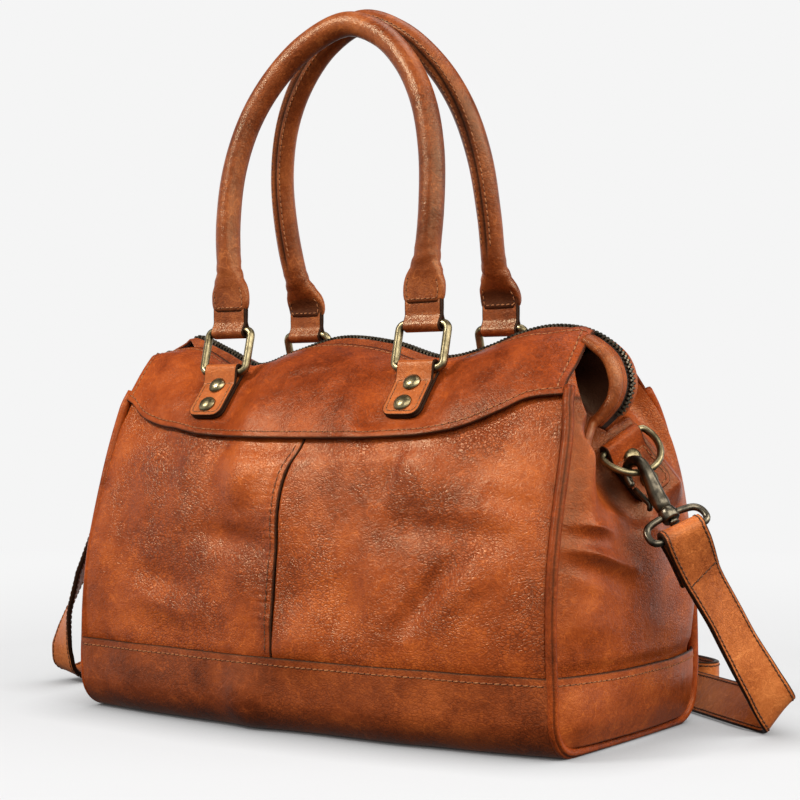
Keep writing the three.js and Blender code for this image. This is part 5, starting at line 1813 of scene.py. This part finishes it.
def ear_section(share):
    """Height of the ear's flat section at a share of its half width."""
    return np.clip(1 - np.abs(share) ** (2 / EAR_SQUARENESS), 0, 1) ** (EAR_SQUARENESS / 2)


def ear_stitches(path, side, up, thick, wide, face):
    """Row down one side of a flattened ear, across its end and up the other side."""
    reach = np.clip(wide - EAR_STITCH_INSET, 1, None)
    lift = thick * ear_section(reach / wide)
    right = path + up * reach[:, None] + side * (face * lift)[:, None]
    left = path - up * reach[:, None] + side * (face * lift)[:, None]
    share = np.linspace(1, -1, EAR_ACROSS)[1:-1, None]
    height = thick[1] * ear_section(share * reach[1] / wide[1])
    cross = path[1] + up[1] * reach[1] * share + side[1] * face * height
    line = np.vstack([right[:0:-1], cross, left[1:]])
    normals = np.vstack([side[:0:-1], np.repeat(side[1][None], len(cross), 0), side[1:]]) * face
    stitches(line, normals, TAB_PITCH, TAB_STITCH_SIZE)


for face_name, handle in HANDLES.items():
    lean = unit((0, -handle["side"] * handle["ring_lean"], 1))
    for i, end_name in enumerate(("left", "right")):
        spot = tab_frames[face_name][i]
        tag = f"{face_name}_{end_name}"
        strip = folded_strip(TAB_LENGTH, TAB_WIDTH, -LOOP_OUTER, TAB_CORNER, TAB_LAYER)
        new_piece(f"tab_{tag}_leather", in_frame(strip, spot), "tab_hide", f"tab_{tag}")
        tab_stitches(spot, TAB_LENGTH, TAB_WIDTH)
        for k, down in enumerate(TAB_RIVETS):
            node = f"tab_rivet_{tag}_{k + 1}"
            new_piece(f"{node}_dome", in_frame(rivet(down), spot), "brass", node)
        ring = placed(rounded_ring(), spot["place"], vec(1, 0, 0), np.cross(lean, vec(1, 0, 0)), lean)
        new_piece(f"ring_{tag}_wire", ring, "brass", f"ring_{tag}")
        bar = spot["place"] + lean * RING_PITCH
        loop_frame = fitting_frame(bar, vec(-handle["side"], 0, 0), vec(0, 0, 1))
        loop = folded_strip(LOOP_INTO_EAR, TAB_WIDTH, -TAB_THICKNESS / 2, 1, TAB_LAYER)
        node = f"handle_loop_{tag}"
        new_piece(f"{node}_leather", in_frame(loop, loop_frame), "handle_hide", node)
    add_handle(face_name, handle, bar + (0, 0, HANDLE_LOOP_TAIL + 2 * GAP))

# Side tabs, D-rings and hooks. The left end's are mirror images.
D_HALF = D_INNER_WIDTH / 2 + D_WIRE
D_BOW = D_DEPTH - D_STRAIGHT
D_CORNER_ALONG, D_CORNER_OUT, D_CORNER_DROP = 3, 0.7, 0.9
D_BOW_POINTS = 17
D_STEP = 1.6
WIRE_SIDES = 14
d_way = side_frame["z"] * math.cos(D_LIFT) - side_frame["y"] * math.sin(D_LIFT)
d_frame = dict(place=side_frame["place"], x=side_frame["x"], y=np.cross(d_way, side_frame["x"]), z=d_way)


def d_ring():
    bar_half = D_HALF - D_CORNER_ALONG
    corner = vec(D_HALF - D_CORNER_OUT, 0, -D_CORNER_DROP)
    path = [vec(bar_half, 0, 0), vec(0, 0, 0), vec(-bar_half, 0, 0), corner * (-1, 1, 1)]
    for angle in np.linspace(0, np.pi, D_BOW_POINTS):
        path.append(vec(-D_HALF * math.cos(angle), 0, -D_STRAIGHT - D_BOW * math.sin(angle)))
    path.append(corner)
    return rod(spline(path, D_STEP, True), D_WIRE, vec(0, 1, 0), WIRE_SIDES, True)


low_side = -np.sign(side_frame["x"][2])
wire_point = (d_frame["place"] + d_frame["x"] * low_side * D_HALF * math.sin(HOOK_ON_RING)
              - d_frame["z"] * (D_STRAIGHT + D_BOW * math.cos(HOOK_ON_RING)))
wire_way = unit(-d_frame["x"] * low_side * D_HALF * math.cos(HOOK_ON_RING)
                - d_frame["z"] * D_BOW * math.sin(HOOK_ON_RING))
hook_z = -HOOK_AXIS
hook_y = unit(wire_way - hook_z * (wire_way @ hook_z))
hook_place = wire_point + HOOK_AXIS * HOOK_REACH


def hook_frame_at(spin):
    y = hook_y * math.cos(spin) + np.cross(hook_z, hook_y) * math.sin(spin)
    return dict(place=hook_place, x=np.cross(y, hook_z), y=y, z=hook_z)


hook_frame = hook_frame_at(HOOK_SPIN)
eye_frame = hook_frame_at(0)


# The first rows of the spine are the straight stem, and the rest is bent
STEM_ROWS = 5
HOOK_STEP, HOOK_SIDES = 1.0, 20
NOSE_REACH, NOSE_SIZE = 0.8, 0.45
# The gate's heel behind its pivot, and the lever from the pivot to the tip
GATE_HEEL = table("x z radius", [
    [-2.9, -2.3, 0.8],
    [-2.6, -2.0, 1.4],
    [-1.4, -1.0, 1.6],
])
GATE_LEVER = table("share radius", [
    [0, 1.7],
    [0.3, 1.65],
    [0.75, 1.6],
    [0.98, 1.5],
    [1, 1.0],
])
# Outline of the swivel's collar, and one side of the wire eye from the collar round to its bar
EYE_BORE = STEM_RADIUS + WIRE_CLEAR
COLLAR_LOW, COLLAR_HIGH = -4.6, 2.3
COLLAR_OUTLINE = (
    (EYE_BORE, COLLAR_LOW), (4.6, COLLAR_LOW), (5, -4.2), (5.4, -1),
    (5.2, 0.6), (4.8, 2), (4.4, COLLAR_HIGH), (EYE_BORE, COLLAR_HIGH))
COLLAR_AXES = np.array([[1, 0, 0], [0, 0, 1], [0, -1, 0]])
EYE_HALF = EYE_WIDTH / 2 + EYE_WIRE
EYE_STEP = 1.4
EYE_SIDE = table("y z", [
    [4.2, -1.2],
    [9, -1.6],
    [EYE_HALF - 2.5, -3.2],
    [EYE_HALF, -6.4],
    [EYE_HALF, -EYE_BAR + 2],
    [EYE_HALF - 2, -EYE_BAR],
    [0, -EYE_BAR],
])


def hook_body():
    spine = stack(values_of(HOOK_SPINE, "x"), 0, values_of(HOOK_SPINE, "z"))
    sizes = values_of(HOOK_SPINE, "radius")
    bow = spine[STEM_ROWS:]
    fine = spline(bow, HOOK_STEP)
    along = lengths_along(fine)
    rows = lengths_along(bow)
    radius = np.interp(along, rows * along[-1] / rows[-1], sizes[STEM_ROWS:])
    nose = fine[-1] + (fine[-1] - fine[-2]) * NOSE_REACH
    path = np.vstack([spine[:STEM_ROWS], fine, nose])
    radii = np.concatenate([sizes[:STEM_ROWS], radius, radius[-1:] * NOSE_SIZE])
    return rod(path, radii, vec(0, 1, 0), HOOK_SIDES)


def hook_gate():
    heel = GATE_PIVOT + stack(values_of(GATE_HEEL, "x"), 0, values_of(GATE_HEEL, "z"))
    lever = mix(GATE_PIVOT, GATE_TIP, values_of(GATE_LEVER, "share")[:, None])
    radii = np.concatenate([values_of(GATE_HEEL, "radius"), values_of(GATE_LEVER, "radius")])
    return rod(np.vstack([heel, lever]), radii, vec(0, 1, 0), WIRE_SIDES)


def swivel_eye():
    points, rim_faces, shade = lathe(COLLAR_OUTLINE, FITTING_SIDES)
    collar = points @ COLLAR_AXES, rim_faces, shade
    right = stack(0, values_of(EYE_SIDE, "y"), values_of(EYE_SIDE, "z"))
    left = (right * (1, -1, 1))[-2::-1]
    wire = rod(spline(np.vstack([right, left]), EYE_STEP), EYE_WIRE, vec(1, 0, 0), WIRE_SIDES)
    return joined(collar, wire)


for end_name, side in (("right", 1), ("left", -1)):
    strip = folded_strip(SIDE_TAB_LENGTH, SIDE_TAB_WIDTH, -LOOP_OUTER, TAB_CORNER, TAB_LAYER)
    node = f"side_tab_{end_name}"
    new_piece(f"{node}_leather", at_end(in_frame(strip, side_frame), side), "yoke_hide", node)
    tab_stitches(side_frame, SIDE_TAB_LENGTH, SIDE_TAB_WIDTH, side)
    for k, down in enumerate(TAB_RIVETS):
        node = f"side_rivet_{k + 1}_{end_name}"
        new_piece(f"{node}_dome", at_end(in_frame(rivet(down), side_frame), side), "brass", node)
    node = f"d_ring_{end_name}"
    new_piece(f"{node}_wire", at_end(in_frame(d_ring(), d_frame), side), "brass", node)
hook = in_frame(hook_body(), hook_frame)
gate = in_frame(hook_gate(), hook_frame)
eye = in_frame(swivel_eye(), eye_frame)
new_piece("hook_right_body", hook, "bronze", "hook_right", "hook")
new_piece("hook_gate_right_lever", gate, "bronze", "hook_gate_right", "gate")
new_piece("hook_eye_right_wire", eye, "bronze", "hook_eye_right")
new_piece("hook_left_body", mirrored(joined(hook, eye)), "bronze", "hook_left")

# Strap: each end is folded round the bar of its swivel eye and lies double for a short way
FOLD_RADIUS = EYE_WIRE + GAP + STRAP_THICKNESS / 2
STRAP_STITCH = 2.4
LEAD_LIFTS = (2.6, 1.2)
FOLD_STITCH = 33
# The tail under each fold: distance from the bar, and how much closer to the strap it lies
TAIL_STEPS = ((31, 1.2), (22, 1.0), (12, 0.2))
TURN_POINTS = 7
TURN_MIDDLE = 3
STRAP_STEP, STRAP_EDGE = 2.4, 0.8
STRAP_PITCH, FOLD_PITCH, STRAP_STITCH_SIZE = 3.6, 3.2, 1.25
FOLD_POINTS = 40


def strap_end(side, following):
    flip = vec(side, 1, 1)
    bar = (eye_frame["place"] + HOOK_AXIS * EYE_BAR) * flip
    wide = eye_frame["y"] * flip
    way = unit(following - bar)
    away = unit(way - wide * (way @ wide))
    out = np.cross(wide, away) * -side
    under = STRAP_THICKNESS / 2 + GAP
    tail = [bar + way * reach - out * (under - close) for reach, close in TAIL_STEPS]
    turn = [bar - away * FOLD_RADIUS * math.cos(a) - out * FOLD_RADIUS * math.sin(a)
            for a in np.linspace(np.pi / 2, -np.pi / 2, TURN_POINTS)]
    lead = [bar + way * FOLD_LENGTH / 2 + out * FOLD_RADIUS]
    return np.array(tail), np.array(turn + lead), wide, out


def strap_line():
    """Points of the strap's middle line with the direction of its width, tail to tail."""
    route = np.stack([values_of(STRAP_ROUTE, key) for key in ("x", "y", "z")], 1)
    wide = unit(np.stack([values_of(STRAP_ROUTE, key) for key in ("wide_x", "wide_y", "wide_z")], 1))
    tail, turn, way, out = strap_end(1, route[0])
    far_tail, far_turn, far_way, far_out = strap_end(-1, route[-1])
    for row, lift in enumerate(LEAD_LIFTS):
        route[row] += out * lift
        route[-1 - row] += far_out * lift
    points = np.vstack([tail, turn, route, far_turn[::-1], far_tail[::-1]])
    near = np.repeat(way[None], len(tail) + len(turn), 0)
    far = np.repeat(far_way[None], len(tail) + len(turn), 0)
    return np.hstack([points, np.vstack([near, wide, far])])


def fold_stitches(path, side, up, at, end, way):
    """Row of stitches across the strap where its folded end stops."""
    row = np.argmin(np.abs(at - at[end] - way * FOLD_STITCH))
    across = np.linspace(-1, 1, FOLD_POINTS)[:, None] * (STRAP_WIDTH / 2 - STRAP_STITCH)
    for face in (-1, 1):
        line = path[row] + side[row] * across + up[row] * face * STRAP_THICKNESS / 2
        normals = np.repeat(up[row][None] * face, FOLD_POINTS, 0)
        stitches(line, normals, FOLD_PITCH, STRAP_STITCH_SIZE, "dark_thread")


def add_strap():
    both = strap_line()
    path = spline(both[:, :3], STRAP_STEP)
    nearest = [np.argmin(np.linalg.norm(path - p, axis=1)) for p in both[:, :3]]
    at = lengths_along(path)
    knots = np.maximum.accumulate(at[nearest])
    wide = interpolated(both[:, 3:], knots, at)
    _, side, up = frames(path, wide)
    half = STRAP_THICKNESS / 2
    rings, row = band_rings(path, side, up, STRAP_WIDTH / 2, -half, half, STRAP_EDGE)
    strap = new_piece("strap_leather", loft(rings, row[None, :]), "strap_hide", "strap")
    bar_row = len(TAIL_STEPS) + TURN_MIDDLE
    first = nearest[bar_row]
    last = nearest[-1 - bar_row]
    for end, way in ((first, 1), (last, -1)):
        fold_stitches(path, side, up, at, end, way)
    for edge in (-1, 1):
        for face in (-1, 1):
            line = path + side * edge * (STRAP_WIDTH / 2 - STRAP_STITCH) + up * face * half
            stitches(line, up * face, STRAP_PITCH, STRAP_STITCH_SIZE, "dark_thread")


add_strap()
for thread_name, groups in thread_shapes.items():
    new_piece(f"stitches_{thread_name}_root", repeated(groups), thread_name, [])
new_piece("stitch_holes_root", repeated(hole_shapes), "hole", [])


# Plain pale floor, lit near the bag and evenly bright farther out, its glow dimmed close to the bag as a
# painted contact shadow, and soft studio light
FLOOR_HALF = 8.0
FLOOR_NEAR = 0.45
FLOOR_FAR = 1.5
NEAR_GLOW = 0.58
NEAR_WHITE = 0.18
RISE_BEND = 0.86
CONTACT_SHADOW_REACH = 0.05
CONTACT_SHADOW_SAMPLES = 8
BACKGROUND = 0.913
DARK_ABOVE = 0.12
# Glow of the world from straight down (0) over the horizon (0.5) to straight up (1)
WORLD_GLOW = ((0.4, DARK_ABOVE), (0.45, BACKGROUND), (0.6225, BACKGROUND), (0.67, DARK_ABOVE))


def add_floor():
    mesh = bpy.data.meshes.new("floor")
    signs = ((-1, -1), (1, -1), (1, 1), (-1, 1))
    mesh.from_pydata([(x * FLOOR_HALF, y * FLOOR_HALF, 0) for x, y in signs], [], [(0, 1, 2, 3)])
    floor = bpy.data.objects.new("floor", mesh)
    scene.collection.objects.link(floor)
    n = Nodes("floor")
    length = n.tree.nodes.new("ShaderNodeVectorMath")
    length.operation = "LENGTH"
    n.link(n.coords, length.inputs[0])
    far = n.span(length.outputs["Value"], FLOOR_NEAR, FLOOR_FAR, 0, 1)
    n.to(n.ramp(far, [(0, (NEAR_WHITE,) * 3), (1, (0, 0, 0))]), "Base Color")
    rise = n.math("MULTIPLY", far, n.span(far, 0, 1, 1 + RISE_BEND, 1))
    # Painted contact shadow: the floor's glow is dimmed by occlusion close to the bag
    contact_shadow = n.tree.nodes.new("ShaderNodeAmbientOcclusion")
    contact_shadow.samples = CONTACT_SHADOW_SAMPLES
    contact_shadow.inputs["Distance"].default_value = CONTACT_SHADOW_REACH
    glow = n.span(rise, 0, 1, NEAR_GLOW, BACKGROUND)
    n.to(n.math("MULTIPLY", glow, contact_shadow.outputs["AO"]), "Emission Strength")
    n.set(Roughness=0.9, Specular_IOR_Level=0.0, Emission_Color=(1, 1, 1, 1))
    mesh.materials.append(n.material)
    floor.visible_glossy = False
    floor.visible_diffuse = False


def add_world():
    """Bright towards the horizon and darker above, as in a studio."""
    world = bpy.data.worlds.new("studio")
    world.use_nodes = True
    tree = world.node_tree
    direction = tree.nodes.new("ShaderNodeTexCoord").outputs["Generated"]
    split = tree.nodes.new("ShaderNodeSeparateXYZ")
    tree.links.new(direction, split.inputs[0])
    ramp = tree.nodes.new("ShaderNodeValToRGB")
    fill_ramp(ramp, [(place, (glow,) * 3) for place, glow in WORLD_GLOW])
    lifted = tree.nodes.new("ShaderNodeMapRange")
    lifted.inputs["From Min"].default_value = -1
    tree.links.new(split.outputs["Z"], lifted.inputs["Value"])
    tree.links.new(lifted.outputs["Result"], ramp.inputs["Fac"])
    tree.links.new(ramp.outputs["Color"], tree.nodes["Background"].inputs["Color"])
    scene.world = world


LIGHTS = table("name place target size power", [
    ["key", (-0.75, -1.15, 1.3), (0, 0, 0.15), (0.45, 0.36), 32],
    ["fill", (1.4, -0.95, 1.25), (0, 0, 0.15), (2.0, 1.4), 42],
    ["side", (1.35, 0.42, 0.95), (0.1, 0, 0.1), (1.0, 0.8), 17],
    ["top", (0.15, 0.35, 1.5), (0, 0, 0.15), (1.0, 0.7), 6],
])


def add_light(name, place, target, size, power):
    data = bpy.data.lights.new(name, "AREA")
    data.shape = "RECTANGLE"
    data.size, data.size_y = size
    data.energy = power
    lamp = bpy.data.objects.new(name, data)
    scene.collection.objects.link(lamp)
    back = unit(np.array(place, float) - np.array(target, float))
    right = unit(np.cross(vec(0, 0, 1), back))
    aim(lamp, place, right, back)


add_floor()
add_world()
for light in LIGHTS:
    add_light(**light)
scene.view_settings.view_transform = "Standard"
